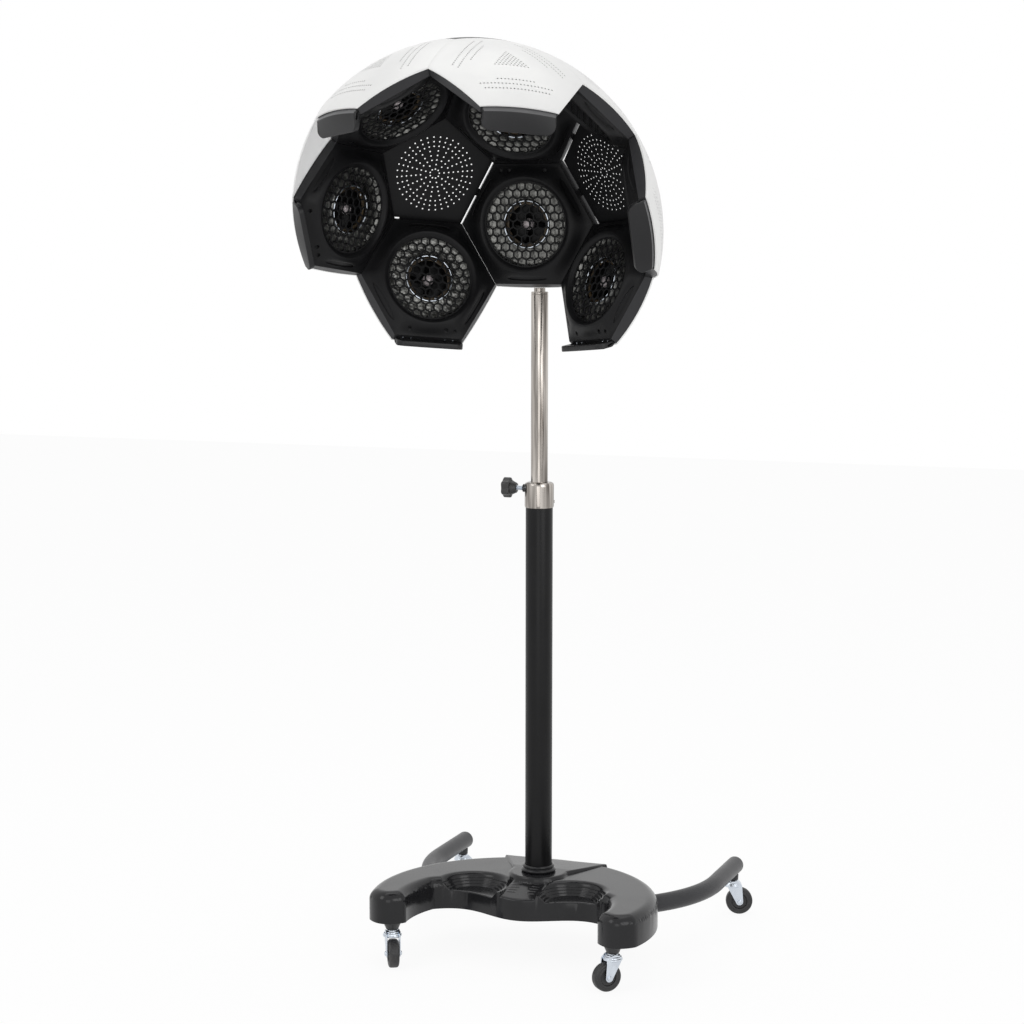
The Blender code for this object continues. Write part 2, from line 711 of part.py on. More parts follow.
def leg_route():
    """Centre line of the rear leg: across under the column, round two bends and straight back."""
    centre_x = LEG_HALF_TRACK - LEG_BEND_RADIUS
    centre_y = LEG_FRONT_Y + LEG_BEND_RADIUS
    right = arc_points(centre_x, centre_y, LEG_BEND_RADIUS, -90.0, 0.0, LEG_BEND_STEPS)
    right.append((LEG_HALF_TRACK, REAR_CASTOR_Y + LEG_END_BEYOND_CASTOR))
    left = [(-x, y) for x, y in reversed(right)]
    return left + right


def leg_sweep(name, diameter, capped):
    """Round tube surface along the rear leg's centre line."""
    curve = bpy.data.curves.new(name, "CURVE")
    curve.dimensions = "3D"
    curve.bevel_depth = diameter / 2.0
    curve.bevel_resolution = LEG_SIDES // 2 - 2
    curve.use_fill_caps = capped
    route = leg_route()
    spline = curve.splines.new("POLY")
    spline.points.add(len(route) - 1)
    for point, (x, y) in zip(spline.points, route):
        point.co = (x, y, LEG_Z, 1.0)
    carrier = bpy.data.objects.new(name, curve)
    TOOLS.objects.link(carrier)
    mesh = bake(carrier)
    bm = bmesh.new()
    bm.from_mesh(mesh)
    bmesh.ops.remove_doubles(bm, verts=bm.verts[:], dist=0.00001)
    bmesh.ops.recalc_face_normals(bm, faces=bm.faces[:])
    bm.to_mesh(mesh)
    bm.free()
    return mesh


def build_leg(root):
    """Bent rear leg tube with castor stems under its ends, and two end plugs."""
    tube = add_part("leg_tube", leg_sweep("leg_tube", LEG_DIAMETER, False), SATIN_BLACK, root)
    thicken(tube, LEG_WALL)
    stem_top = LEG_Z - LEG_DIAMETER / 2.0 + LEG_WALL
    pin_foot = FORK_TOP_Z - KING_PIN_REACH
    stem = [(0.0, stem_top), (LEG_STEM_DIAMETER / 2.0, stem_top), (LEG_STEM_DIAMETER / 2.0, FORK_TOP_Z + GAP),
            (KING_PIN_DIAMETER / 2.0, FORK_TOP_Z + GAP), (KING_PIN_DIAMETER / 2.0, pin_foot), (0.0, pin_foot)]
    rise = LEG_DIAMETER / 2.0
    bore = rise * math.cos(math.pi / LEG_SIDES) - LEG_WALL
    crown = [(rise * math.cos(math.radians(turn)), PLUG_CROWN * math.sin(math.radians(turn)))
             for turn in (55.0, 20.0)]
    plug = [(0.0, PLUG_CROWN)] + crown
    plug += [(rise, GAP), (bore - GAP, GAP), (bore - GAP, -PLUG_DEPTH), (0.0, -PLUG_DEPTH)]
    facing = Matrix.Rotation(-math.pi / 2.0, 3, "X")
    for side, sign in (("left", -1.0), ("right", 1.0)):
        place = (sign * LEG_HALF_TRACK, REAR_CASTOR_Y, 0.0)
        tool = turned_tool("leg_stem_" + side, stem, 10, False, root, place)
        combine(tube, tool, "UNION")
        end = (sign * LEG_HALF_TRACK, REAR_CASTOR_Y + LEG_END_BEYOND_CASTOR, LEG_Z)
        cap = turned_part("leg_plug_" + side, plug, WHEEL_BLACK, root, 10, False, end, facing)
        smooth(cap)
    smooth(tube)


def arm_outline(inset):
    """Plan of the base's two arms as one crescent, drawn in by an inset."""
    outer = ARM_OUTER_RADIUS - inset
    inner = ARM_INNER_RADIUS + inset
    end_y = ARM_END_Y + inset
    outer_turn = math.degrees(math.asin((end_y - ARM_OUTER_CENTRE_Y) / outer))
    inner_turn = math.degrees(math.asin((end_y - ARM_INNER_CENTRE_Y) / inner))
    outline = arc_points(0.0, ARM_OUTER_CENTRE_Y, outer, outer_turn, 180.0 - outer_turn, 22)
    inside = arc_points(0.0, ARM_INNER_CENTRE_Y, inner, 180.0 - inner_turn, inner_turn, 16)
    tip = []
    left_outer, left_inner = outline[-1], inside[0]
    for step in range(1, 5):
        share = step / 5.0
        bulge = ARM_END_BULGE * math.sin(math.pi * share)
        tip.append((left_outer[0] + (left_inner[0] - left_outer[0]) * share, end_y - bulge))
    return outline + tip + inside + [(-x, y) for x, y in reversed(tip)]


APRON_END_X = math.sqrt(ARM_INNER_RADIUS ** 2 - (APRON_END_Y - ARM_INNER_CENTRE_Y) ** 2) + APRON_TUCK


def apron_y(x):
    """Front edge of the apron between the arms: forward in the middle, hollow beside it."""
    if abs(x) <= APRON_HALF_WIDTH:
        wave = math.cos(math.pi * x / (2.0 * APRON_HALF_WIDTH)) ** 2
        return APRON_SIDE_Y + (APRON_FRONT_Y - APRON_SIDE_Y) * wave
    share = (abs(x) - APRON_HALF_WIDTH) / (APRON_END_X - APRON_HALF_WIDTH)
    return APRON_SIDE_Y + (APRON_END_Y - APRON_SIDE_Y) * share ** 2


def apron_outline(inset):
    """Plan of the low floor between the arms, closed at the back inside the arms."""
    steps = 18
    front = []
    for step in range(steps + 1):
        x = APRON_END_X * (2.0 * step / steps - 1.0)
        front.append((x, apron_y(x) + inset))
    back_y = ARM_INNER_CENTRE_Y + ARM_INNER_RADIUS + 0.02
    return front + [(APRON_END_X, back_y), (-APRON_END_X, back_y)]


def spine_mesh():
    """Sloping spine from the column plate down to the middle of the apron."""
    bm = bmesh.new()
    foot = RECESS_FLOOR_Z - COVER_WALL / 2.0
    front_y = APRON_FRONT_Y + 0.004
    rows = ((front_y, SPINE_FRONT_HALF_WIDTH, SPINE_FRONT_Z), (0.0, SPINE_BACK_HALF_WIDTH, PLATE_TOP_Z - 0.001))
    rings = []
    for y, half, top in rows:
        corners = ((-half, foot), (half, foot), (half * 0.9, top), (-half * 0.9, top))
        rings.append([bm.verts.new((x, y, z)) for x, z in corners])
    front, back = rings
    for step in range(4):
        following = (step + 1) % 4
        bm.faces.new((front[step], front[following], back[following], back[step]))
    bm.faces.new(front)
    bm.faces.new(back)
    bmesh.ops.recalc_face_normals(bm, faces=bm.faces[:])
    return finish_mesh(bm, "spine")


FRAME_FOOT_Z = LEG_Z + LEG_DIAMETER / 2.0 + GAP
FRAME_TOP_Z = FRAME_FOOT_Z + FRAME_THICKNESS


def build_base(root):
    """Moulded base cover with its recesses and spine, over a cast frame that carries the column."""
    wall = COVER_WALL
    cover = add_part("base_cover", prism_mesh("base_cover", arm_outline(0.0), COVER_BOTTOM_Z, ARM_TOP_Z,
                                              ARM_CROWN, 3), GLOSS_BLACK, root)
    apron = add_tool("apron_form", prism_mesh("apron_form", apron_outline(0.0), COVER_BOTTOM_Z,
                                              RECESS_FLOOR_Z, 0.002, 1), root)
    nose = arc_points(0.0, 0.0, PLATE_NOSE_RADIUS, -190.0, 10.0, 12)
    plate_outline = nose + [(PLATE_REAR_HALF_WIDTH, PLATE_REAR_Y), (-PLATE_REAR_HALF_WIDTH, PLATE_REAR_Y)]
    plate = add_tool("plate_form", prism_mesh("plate_form", plate_outline, RECESS_FLOOR_Z, PLATE_TOP_Z,
                                              0.002, 1), root)
    spine = add_tool("spine_form", spine_mesh(), root)
    for tool in (apron, spine, plate):
        combine(cover, tool, "UNION")
    below = COVER_BOTTOM_Z - 0.01
    inner_arms = add_tool("arm_hollow", prism_mesh("arm_hollow", arm_outline(wall), below, ARM_TOP_Z - wall,
                                                   ARM_CROWN - wall, 1), root)
    inner_apron = add_tool("apron_hollow", prism_mesh("apron_hollow", apron_outline(wall), below,
                                                      RECESS_FLOOR_Z - wall), root)
    hub = turned_tool("hub_hollow", cylinder_profile(FRAME_HUB_RADIUS + wall, below, PLATE_TOP_Z - wall),
                      FINE_STEPS, False, root)
    passage = turned_tool("column_passage", cylinder_profile(COLUMN_DIAMETER / 2.0 + PASS_GAP, below,
                                                             PLATE_TOP_Z + 0.01), FINE_STEPS, False, root)
    notch = add_tool("leg_notch", leg_sweep("leg_notch", LEG_DIAMETER + 2.0 * PASS_GAP, True), root)
    for tool in (inner_arms, inner_apron, hub, passage, notch):
        combine(cover, tool, "DIFFERENCE")
    for x, y in POST_PLACES:
        for sign in (-1.0, 1.0):
            post = turned_tool("cover_post", cylinder_profile(POST_DIAMETER / 2.0, FRAME_TOP_Z + GAP,
                                                              ARM_TOP_Z - wall / 2.0), SMALL_STEPS,
                               False, root, (sign * x, y, 0.0))
            combine(cover, post, "UNION")
    smooth(cover, 30.0)
    frame = add_part("base_frame", prism_mesh("base_frame", arm_outline(FRAME_EDGE_INSET), FRAME_FOOT_Z,
                                              FRAME_TOP_Z), CAST_IRON, root)
    spigot = COLUMN_DIAMETER / 2.0 - COLUMN_WALL - GAP
    seat = [(0.0, FRAME_TOP_Z + SPIGOT_HEIGHT), (spigot, FRAME_TOP_Z + SPIGOT_HEIGHT), (spigot, FRAME_TOP_Z),
            (FRAME_HUB_RADIUS, FRAME_TOP_Z), (FRAME_HUB_RADIUS, FRAME_FOOT_Z), (0.0, FRAME_FOOT_Z)]
    combine(frame, turned_tool("column_seat", seat, FINE_STEPS, False, root), "UNION")
    boss_top = BOSS_TOP_DIAMETER / 2.0
    boss_foot = BOSS_FOOT_DIAMETER / 2.0
    pin = KING_PIN_DIAMETER / 2.0
    middle = FRAME_FOOT_Z + FRAME_THICKNESS / 2.0
    boss = [(0.0, middle), (boss_top, middle), (boss_top, COVER_BOTTOM_Z), (boss_foot, FORK_TOP_Z + GAP),
            (pin, FORK_TOP_Z + GAP), (pin, FORK_TOP_Z - KING_PIN_REACH), (0.0, FORK_TOP_Z - KING_PIN_REACH)]
    for sign in (-1.0, 1.0):
        place = (sign * FRONT_CASTOR_X, FRONT_CASTOR_Y, 0.0)
        combine(frame, turned_tool("castor_boss", boss, 12, False, root, place), "UNION")
    smooth(frame, 30.0)


COLLAR_TOP_Z = COLLAR_BOTTOM_Z + COLLAR_HEIGHT
COLUMN_TOP_Z = COLLAR_BOTTOM_Z + COLLAR_SOCKET - GAP
INNER_BORE = INNER_TUBE_DIAMETER / 2.0 + RUN_GAP
KNOB_Z = COLLAR_BOTTOM_Z + KNOB_Z_ABOVE_COLLAR_FOOT


def build_column(root):
    """Fixed column tube, its foot ring, the clamp collar and the plastic bush at the top."""
    outer = COLUMN_DIAMETER / 2.0
    inner = outer - COLUMN_WALL
    tube = turned_part("column_tube", ring_profile(outer, inner, FRAME_TOP_Z + GAP, COLUMN_TOP_Z),
                       SATIN_BLACK, root, FINE_STEPS, True)
    smooth(tube)
    rim = FOOT_RING_DIAMETER / 2.0
    foot = PLATE_TOP_Z + GAP
    bead = [(outer + GAP, foot + FOOT_RING_HEIGHT), ((rim + outer) / 2.0, foot + FOOT_RING_HEIGHT)]
    bead += [(rim, foot + FOOT_RING_HEIGHT * 0.65), (rim - 0.003, foot), (outer + GAP, foot)]
    smooth(turned_part("column_foot_ring", bead, GLOSS_BLACK, root, FINE_STEPS, True))
    body = COLLAR_DIAMETER / 2.0
    edge = 0.0015
    shape = [(body - edge, COLLAR_TOP_Z), (body, COLLAR_TOP_Z - edge), (body, COLLAR_BOTTOM_Z + edge)]
    shape += [(body - edge, COLLAR_BOTTOM_Z), (outer + GAP, COLLAR_BOTTOM_Z)]
    shape += [(outer + GAP, COLLAR_BOTTOM_Z + COLLAR_SOCKET), (INNER_BORE, COLLAR_BOTTOM_Z + COLLAR_SOCKET)]
    shape += [(INNER_BORE, COLLAR_TOP_Z)]
    collar = turned_part("clamp_collar", shape, CHROME, root, FINE_STEPS, True)
    bore = turned_tool("stud_bore", bore_profile(STUD_DIAMETER / 2.0 + GAP, INNER_BORE / 2.0, body + 0.01,
                                                 SMALL_STEPS), SMALL_STEPS, False, root,
                       (0.0, 0.0, KNOB_Z), Matrix.Rotation(-math.pi / 2.0, 3, "Y"))
    combine(collar, bore, "DIFFERENCE")
    smooth(collar)
    bush = ring_profile(inner - GAP, INNER_BORE, COLUMN_TOP_Z - BUSH_LENGTH, COLUMN_TOP_Z)
    smooth(turned_part("column_bush", bush, NYLON, root, FINE_STEPS, True))


def build_slider(slide):
    """Sliding inner tube with its lower guide and the bush that carries the neck."""
    base = slide["world"][2]
    outer = INNER_TUBE_DIAMETER / 2.0
    inner = outer - INNER_TUBE_WALL
    bottom = INNER_TUBE_BOTTOM_Z - base
    top = INNER_TUBE_TOP_Z - base
    smooth(turned_part("inner_tube", ring_profile(outer, inner, bottom, top), CHROME, slide, TUBE_STEPS, True))
    sleeve = COLUMN_DIAMETER / 2.0 - COLUMN_WALL - RUN_GAP
    guide = ring_profile(sleeve, outer + GAP, bottom, bottom + LOWER_GUIDE_LENGTH)
    smooth(turned_part("lower_guide", guide, NYLON, slide, TUBE_STEPS, True))
    neck = NECK_DIAMETER / 2.0 + RUN_GAP
    crown = top + GAP + TOP_BUSH_FLANGE
    bush = [(outer - 0.001, crown), (outer, crown - 0.001), (outer, top + GAP), (inner - GAP, top + GAP)]
    bush += [(inner - GAP, top - TOP_BUSH_DEPTH), (neck, top - TOP_BUSH_DEPTH), (neck, crown)]
    smooth(turned_part("neck_bush", bush, CHROME, slide, TUBE_STEPS, True))


PAD_START = INNER_BORE
STUD_START = PAD_START + PAD_LENGTH + GAP


def knob_outline():
    """Plan of the knob: a circle with shallow waves."""
    points = []
    steps = KNOB_LOBES * 4
    radius = (KNOB_DIAMETER - KNOB_LOBE_DEPTH) / 2.0
    for step in range(steps):
        angle = math.tau * step / steps
        reach = radius + KNOB_LOBE_DEPTH / 2.0 * math.cos(KNOB_LOBES * angle)
        points.append((reach * math.cos(angle), reach * math.sin(angle)))
    return points


def build_knob(clamp, knob_turn):
    """Clamp pad, threaded stud and lobed knob, all on one axis pointing to -X."""
    facing = Matrix.Rotation(-math.pi / 2.0, 3, "Y")
    radius = STUD_DIAMETER / 2.0
    pad = cylinder_profile(radius, PAD_START, PAD_START + PAD_LENGTH)
    smooth(turned_part("clamp_pad", pad, BRASS, clamp, SMALL_STEPS, False, rotation=facing))
    knob_start = KNOB_HUB_START
    face = knob_start + KNOB_HUB_LENGTH
    stud_end = face + STUD_END_IN_KNOB
    stud = cylinder_profile(radius, STUD_START, stud_end)
    smooth(turned_part("clamp_stud", stud, CHROME, knob_turn, SMALL_STEPS, False, rotation=facing))
    head = prism_mesh("clamp_knob", knob_outline(), face, face + KNOB_THICKNESS, 0.003, 1)
    knob = add_part("clamp_knob", head, WHEEL_BLACK, knob_turn, rotation=facing)
    hub = [(0.0, face + 0.002), (KNOB_DIAMETER * 0.36, face + 0.002), (KNOB_DIAMETER * 0.24, knob_start)]
    hub += [(0.0, knob_start)]
    combine(knob, turned_tool("knob_hub", hub, 12, False, knob_turn, rotation=facing), "UNION")
    bore = bore_profile(radius + GAP, knob_start - 0.01, stud_end + GAP, SMALL_STEPS)
    combine(knob, turned_tool("knob_bore", bore, SMALL_STEPS, False, knob_turn, rotation=facing), "DIFFERENCE")
    smooth(knob)


HINGE_HALF = KNUCKLE_WIDTH / 2.0 + GAP
SIDEWAYS = Matrix.Rotation(math.pi / 2.0, 3, "Y")


def build_neck(swivel):
    """Neck post with its hinge knuckle, and the pin through it."""
    base = swivel["world"][2]
    post = NECK_DIAMETER / 2.0
    foot = INNER_TUBE_DIAMETER / 2.0 - INNER_TUBE_WALL - RUN_GAP
    bottom = NECK_BOTTOM_Z - base
    hinge = HINGE_Z - base
    profile = [(0.0, hinge), (post * 0.85, hinge), (post, hinge - 0.012), (post, bottom + NECK_FOOT_LENGTH)]
    profile += [(foot, bottom + NECK_FOOT_LENGTH), (foot, bottom), (0.0, bottom)]
    neck = turned_part("neck_post", profile, CHROME, swivel, TUBE_STEPS)
    barrel = cylinder_profile(KNUCKLE_DIAMETER / 2.0, -KNUCKLE_WIDTH / 2.0, KNUCKLE_WIDTH / 2.0)
    place = (0.0, 0.0, hinge)
    combine(neck, turned_tool("knuckle_form", barrel, TUBE_STEPS, False, swivel, place, SIDEWAYS), "UNION")
    pin = TILT_PIN_DIAMETER / 2.0
    hole = bore_profile(pin + GAP, -KNUCKLE_WIDTH, KNUCKLE_WIDTH, SMALL_STEPS)
    combine(neck, turned_tool("knuckle_hole", hole, SMALL_STEPS, False, swivel, place, SIDEWAYS), "DIFFERENCE")
    smooth(neck)
    head = TILT_PIN_HEAD_DIAMETER / 2.0
    inside = HINGE_HALF + EAR_THICKNESS + GAP
    outside = inside + TILT_PIN_HEAD
    shape = [(0.0, outside), (head - 0.001, outside), (head, outside - 0.001), (head, inside), (pin, inside)]
    shape += [(r, -z) for r, z in reversed(shape)]
    smooth(turned_part("tilt_pin", shape, ZINC, swivel, SMALL_STEPS, False, place, SIDEWAYS))


def build_bracket(tilt, hood):
    """Hinge bracket: a foot that follows the ball behind the middle module, and two ears."""
    reach = Vector(hood["world"]) - Vector(tilt["world"])
    near = -HOOD_RADIUS - reach.y
    bm = bmesh.new()
    bmesh.ops.create_cube(bm, size=1.0)
    start = -near - 0.012
    end = -near + BRACKET_BASE
    bmesh.ops.scale(bm, verts=bm.verts[:], vec=(BRACKET_WIDTH, end - start, BRACKET_HEIGHT))
    bmesh.ops.translate(bm, verts=bm.verts[:], vec=(0.0, (start + end) / 2.0, 0.0))
    upright = [edge for edge in bm.edges if abs(edge.verts[0].co.y - edge.verts[1].co.y) > GAP]
    bmesh.ops.bevel(bm, geom=upright, offset=0.010, segments=3, profile=0.5, affect="EDGES")
    bracket = add_part("hood_bracket", finish_mesh(bm, "hood_bracket"), SATIN_BLACK, tilt)
    eye = EAR_DIAMETER / 2.0
    ear = arc_points(0.0, 0.0, eye, -90.0, 90.0, 8) + [(-near + BRACKET_BASE / 2.0, eye * 1.3)]
    ear += [(-near + BRACKET_BASE / 2.0, -eye * 1.3)]
    upended = Matrix(((0.0, 0.0, 1.0), (1.0, 0.0, 0.0), (0.0, 1.0, 0.0)))
    for sign in (-1.0, 1.0):
        first = HINGE_HALF if sign > 0.0 else -HINGE_HALF - EAR_THICKNESS
        plate = add_tool("bracket_ear", prism_mesh("bracket_ear", ear, first, first + EAR_THICKNESS), tilt,
                         rotation=upended)
        combine(bracket, plate, "UNION")
    hole = bore_profile(TILT_PIN_DIAMETER / 2.0 + GAP, -BRACKET_WIDTH, BRACKET_WIDTH, SMALL_STEPS)
    combine(bracket, turned_tool("ear_hole", hole, SMALL_STEPS, False, tilt, (0, 0, 0), SIDEWAYS), "DIFFERENCE")
    ball = bmesh.new()
    bmesh.ops.create_icosphere(ball, subdivisions=5, radius=HOOD_RADIUS + GAP * 2.0)
    combine(bracket, add_tool("ball_form", finish_mesh(ball, "ball_form"), tilt, reach), "DIFFERENCE")
    smooth(bracket, 30.0)


def build_hood(hood):
    """Ten modules, three vent plates and the blank panel that closes the left side."""
    cover = cover_mesh()
    fan = fan_mesh()
    panels = {True: panel_mesh(True), False: panel_mesh(False)}
    for name, triangle, grip in MODULES:
        turn = module_turn(triangle)
        smooth(add_part("cover_" + name, cover, COVER_WHITE, hood, rotation=turn), 25.0)
        smooth(add_part("panel_" + name, panels[grip], PANEL_BLACK, hood, rotation=turn), 25.0)
        smooth(add_part("fan_" + name, fan, PANEL_BLACK, hood, rotation=turn), 25.0)
    for name, corner in (("back_right", "U2"), ("back_left", "U3")):
        turn = pentagon_turn(corner, "N")
        add_part("vent_" + name, vent_mesh(HOOD_INNER), PANEL_BLACK, hood, rotation=turn)
    dome = dome_mesh("vent_top", 5, 0.0, PENT_PLANE_SHARE, PENT_RADIUS_SHARE, HOOD_RADIUS + TOP_VENT_RISE, SEAM_INSET)
    top = add_part("vent_top", dome, PANEL_BLACK, hood, rotation=pentagon_turn("N", "U0"))
    thicken(top, VENT_THICKNESS)
    smooth(top, 25.0)
    blank = add_part("side_panel_left", side_panel_mesh(), COVER_WHITE, hood, rotation=pentagon_turn("U4", "N"))
    thicken(blank, COVER_THICKNESS)
    smooth(blank, 25.0)


def centre_on_floor(root):
    """Shift the whole part so that the floor point under the middle of its box is the origin."""
    bpy.context.view_layer.update()
    graph = bpy.context.evaluated_depsgraph_get()
    low = Vector((math.inf, math.inf))
    high = Vector((-math.inf, -math.inf))
    for part in PARTS.objects:
        if part.type != "MESH":
            continue
        solid = part.evaluated_get(graph)
        for corner in solid.data.vertices:
            point = solid.matrix_world @ corner.co
            low = Vector((min(low.x, point.x), min(low.y, point.y)))
            high = Vector((max(high.x, point.x), max(high.y, point.y)))
    middle = (low + high) / 2.0
    root.location = (-middle.x, -middle.y, 0.0)
    bpy.context.view_layer.update()


def main():
    """Build every piece under the empties of the joints."""
    root = make_empty("dryer_origin", None, (0.0, 0.0, 0.0))
    build_castors(root)
    build_leg(root)
    build_base(root)
    build_column(root)
    slide = make_empty("column_slide", root, (0.0, 0.0, COLLAR_TOP_Z))
    build_slider(slide)
    clamp = make_empty("clamp_axis", root, (0.0, 0.0, KNOB_Z))
    knob_turn = make_empty("clamp_knob_turn", root, (0.0, 0.0, KNOB_Z))
    build_knob(clamp, knob_turn)
    swivel = make_empty("hood_swivel", slide, (0.0, 0.0, INNER_TUBE_TOP_Z))
    build_neck(swivel)
    tilt = make_empty("hood_tilt", swivel, (0.0, 0.0, HINGE_Z))
    centre = (0.0, -HOOD_RADIUS - HINGE_STANDOFF, HINGE_Z - HOOD_DROP_BELOW_HINGE)
    hood = make_empty("hood_centre", tilt, centre)
    build_bracket(tilt, hood)
    hood.rotation_euler.x = math.radians(HOOD_LEAN)
    build_hood(hood)
    centre_on_floor(root)


main()
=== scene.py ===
"""Looks for the standing hood dryer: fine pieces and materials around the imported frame.

Metres, +Z up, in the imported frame's own axes; the user sits at -Y.
"""
import json
import math

import bmesh
import bpy
import numpy as np
from mathutils import Matrix, Vector
from mathutils.geometry import delaunay_2d_cdt


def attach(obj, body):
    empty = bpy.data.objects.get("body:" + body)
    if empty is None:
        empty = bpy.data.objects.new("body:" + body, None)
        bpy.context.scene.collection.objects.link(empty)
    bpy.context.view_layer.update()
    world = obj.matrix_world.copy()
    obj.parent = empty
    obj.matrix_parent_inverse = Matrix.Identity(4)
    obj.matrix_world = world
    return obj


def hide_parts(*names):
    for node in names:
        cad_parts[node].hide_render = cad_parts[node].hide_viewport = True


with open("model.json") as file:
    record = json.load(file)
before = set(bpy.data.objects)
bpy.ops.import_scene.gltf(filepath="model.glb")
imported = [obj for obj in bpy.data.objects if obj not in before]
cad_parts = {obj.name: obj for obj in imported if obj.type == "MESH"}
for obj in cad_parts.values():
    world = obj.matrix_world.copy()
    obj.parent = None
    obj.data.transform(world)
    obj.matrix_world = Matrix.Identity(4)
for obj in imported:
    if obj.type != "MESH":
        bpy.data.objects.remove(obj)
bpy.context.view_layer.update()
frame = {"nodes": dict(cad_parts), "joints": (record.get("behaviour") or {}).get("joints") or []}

# Roundness of turned pieces, and the gap between pieces that rest on each other
ROUND_STEPS = 64
SMALL_STEPS = 32
FINE_STEPS = 12
TUBE_ROUNDING = 0.0006
FILLET_LIMIT = 0.45
SEAT_GAP = 0.0003

# Hood: shares of a truncated icosahedron with corner radius 1, and the module's sizes
EDGE_SHARE = 1.0 / 2.47801866
HEX_PLANE_SHARE = math.sqrt(1.0 - EDGE_SHARE ** 2)
HEX_FLAT_SHARE = math.cos(math.pi / 6.0)
PENT_RADIUS_SHARE = EDGE_SHARE / (2.0 * math.sin(math.pi / 5.0))
PENT_PLANE_SHARE = math.sqrt(1.0 - PENT_RADIUS_SHARE ** 2)
PENT_FLAT_SHARE = math.cos(math.pi / 5.0)
GRID_ROW_SHARE = 0.866
HOOD_RADIUS = 0.311
SEAM_INSET = 0.0004
COVER_INSET = SEAM_INSET * 0.3
COVER_THICKNESS = 0.0025
COVER_EDGE_DROP = 0.0002
COVER_EDGE_WIDTH = 0.0008
COVER_EDGE_DEPTH = 0.0003
COVER_SIDE_PARTS = 20
COVER_GRID = 0.0075
COVER_GRID_MARGIN = 0.005
PANEL_RADIUS = 0.296
PANEL_THICKNESS = 0.0025
PANEL_PLANE = PANEL_RADIUS * HEX_PLANE_SHARE
PANEL_CORNER = PANEL_RADIUS * EDGE_SHARE - SEAM_INSET / HEX_FLAT_SHARE
PANEL_SIDE_PARTS = 16
WALL_THICKNESS = 0.0020
WALL_FOOT = 0.0004
WALL_REACH = HOOD_RADIUS - COVER_THICKNESS - SEAT_GAP
WALL_SIDE_PARTS = 8
FLOOR_RISE = 0.014
GRILLE_PLANE = PANEL_PLANE - FLOOR_RISE

# Dots in the white covers
DOT_RADIUS = 0.0016
DOT_STEPS = 8
DOT_MARGIN = 0.0028
DOT_PITCH = 0.0054
TRIANGLE_DOTS = 10
DOT_ROWS = ((0.0710, 19), (0.0605, 21), (0.0500, 11))
DOT_TURNS = (60.0, 180.0, 300.0)

# Grille of one module, the dish round it, and the floor's slots and screws
DISH_RADIUS = 0.0805
DISH_DEPTH = 0.0055
DISH_STEPS = 96
GRILLE_RADIUS = 0.0726
GRILLE_GRID_REACH = GRILLE_RADIUS * 1.2
GRILLE_STEPS = 72
GRILLE_PITCH = 0.0150
GRILLE_RIB = 0.0030
GRILLE_RIM = 0.0012
GRILLE_LAP = 0.0015
GRILLE_THICKNESS = 0.0024
GRILLE_BEVEL = 0.0005
CELL_MIN_AREA = 0.000012
FLOOR_BEVEL = 0.0004
FLOOR_SHARES = (0.14, 0.28, 0.42, 0.56, 0.70, 0.85)
SLOT_HALF_LENGTH = 0.036
SLOT_HALF_WIDTH = 0.0036
SLOT_STEPS = 14
SLOT_BOW = 0.4
SLOT_DEPTH = 0.0024
SLOT_FROM_EDGE = 0.0100
SLOT_TURNS = (0.0, 120.0, 240.0)
SLOT_MARGIN_SHARE = 0.35
POCKET_LAP_SHARE = 0.04
POCKET_BACK = 0.0005
SCREW_RADIUS = 0.0031
SCREW_STEPS = 16
SCREW_MARGIN = 0.0015
SCREW_FROM_EDGE = 0.0115
SCREW_OFFSETS = (0.035, -0.0295, -0.045)

# Profiles of turned pieces are pairs of radius and height; these start from the floor and from the grille
SCREW_HEAD = ((0.0, 0.0014), (SCREW_RADIUS + 0.0003, 0.0014),
              (SCREW_RADIUS + 0.0003, PANEL_THICKNESS + 0.001), (0.0, PANEL_THICKNESS + 0.001))
DISH_SLOPE = ((DISH_RADIUS + 0.0004, 0.0002), (DISH_RADIUS - 0.0016, 0.0006), (DISH_RADIUS - 0.0040, 0.0022),
              (GRILLE_RADIUS + 0.0022, 0.0042), (GRILLE_RADIUS + 0.0008, DISH_DEPTH),
              (GRILLE_RADIUS + 0.0008, DISH_DEPTH + 0.004), (DISH_RADIUS + 0.0004, DISH_DEPTH + 0.004))

# Foil ring behind a grille, its profiles from the grille's back; tubes are two radii, bottom and top
REFLECTOR_PLANE = GRILLE_PLANE + DISH_DEPTH + GRILLE_THICKNESS + 0.0006
REFLECTOR_INNER = 0.0400
FOIL_WALL = 0.0008
FOIL_FRONT = ((GRILLE_RADIUS + 0.0010, 0.0), (GRILLE_RADIUS - 0.0022, 0.0044),
              (GRILLE_RADIUS - 0.0050, 0.0056), (REFLECTOR_INNER + 0.0040, 0.0058),
              (REFLECTOR_INNER + 0.0012, 0.0050), (REFLECTOR_INNER, 0.0036), (REFLECTOR_INNER, 0.0205))
FOIL_SCREW = ((0.0, 0.0084), (0.0024, 0.0084), (0.0024, 0.0056), (0.0016, 0.0048), (0.0, 0.0046))
FOIL_SCREW_TURNS = (20.0, 160.0, 200.0, 340.0)
FOIL_SCREW_INSET = 0.0042
BEAD_RADIUS = 0.0016
BEAD_HEIGHT = 0.0020
FORMER = (REFLECTOR_INNER - 0.0012, REFLECTOR_INNER - 0.0070,
          REFLECTOR_PLANE + 0.0062, REFLECTOR_PLANE + 0.0082)
SHIELD = (REFLECTOR_INNER + 0.0006, 0.0034, REFLECTOR_PLANE + 0.0204, REFLECTOR_PLANE + 0.0212)

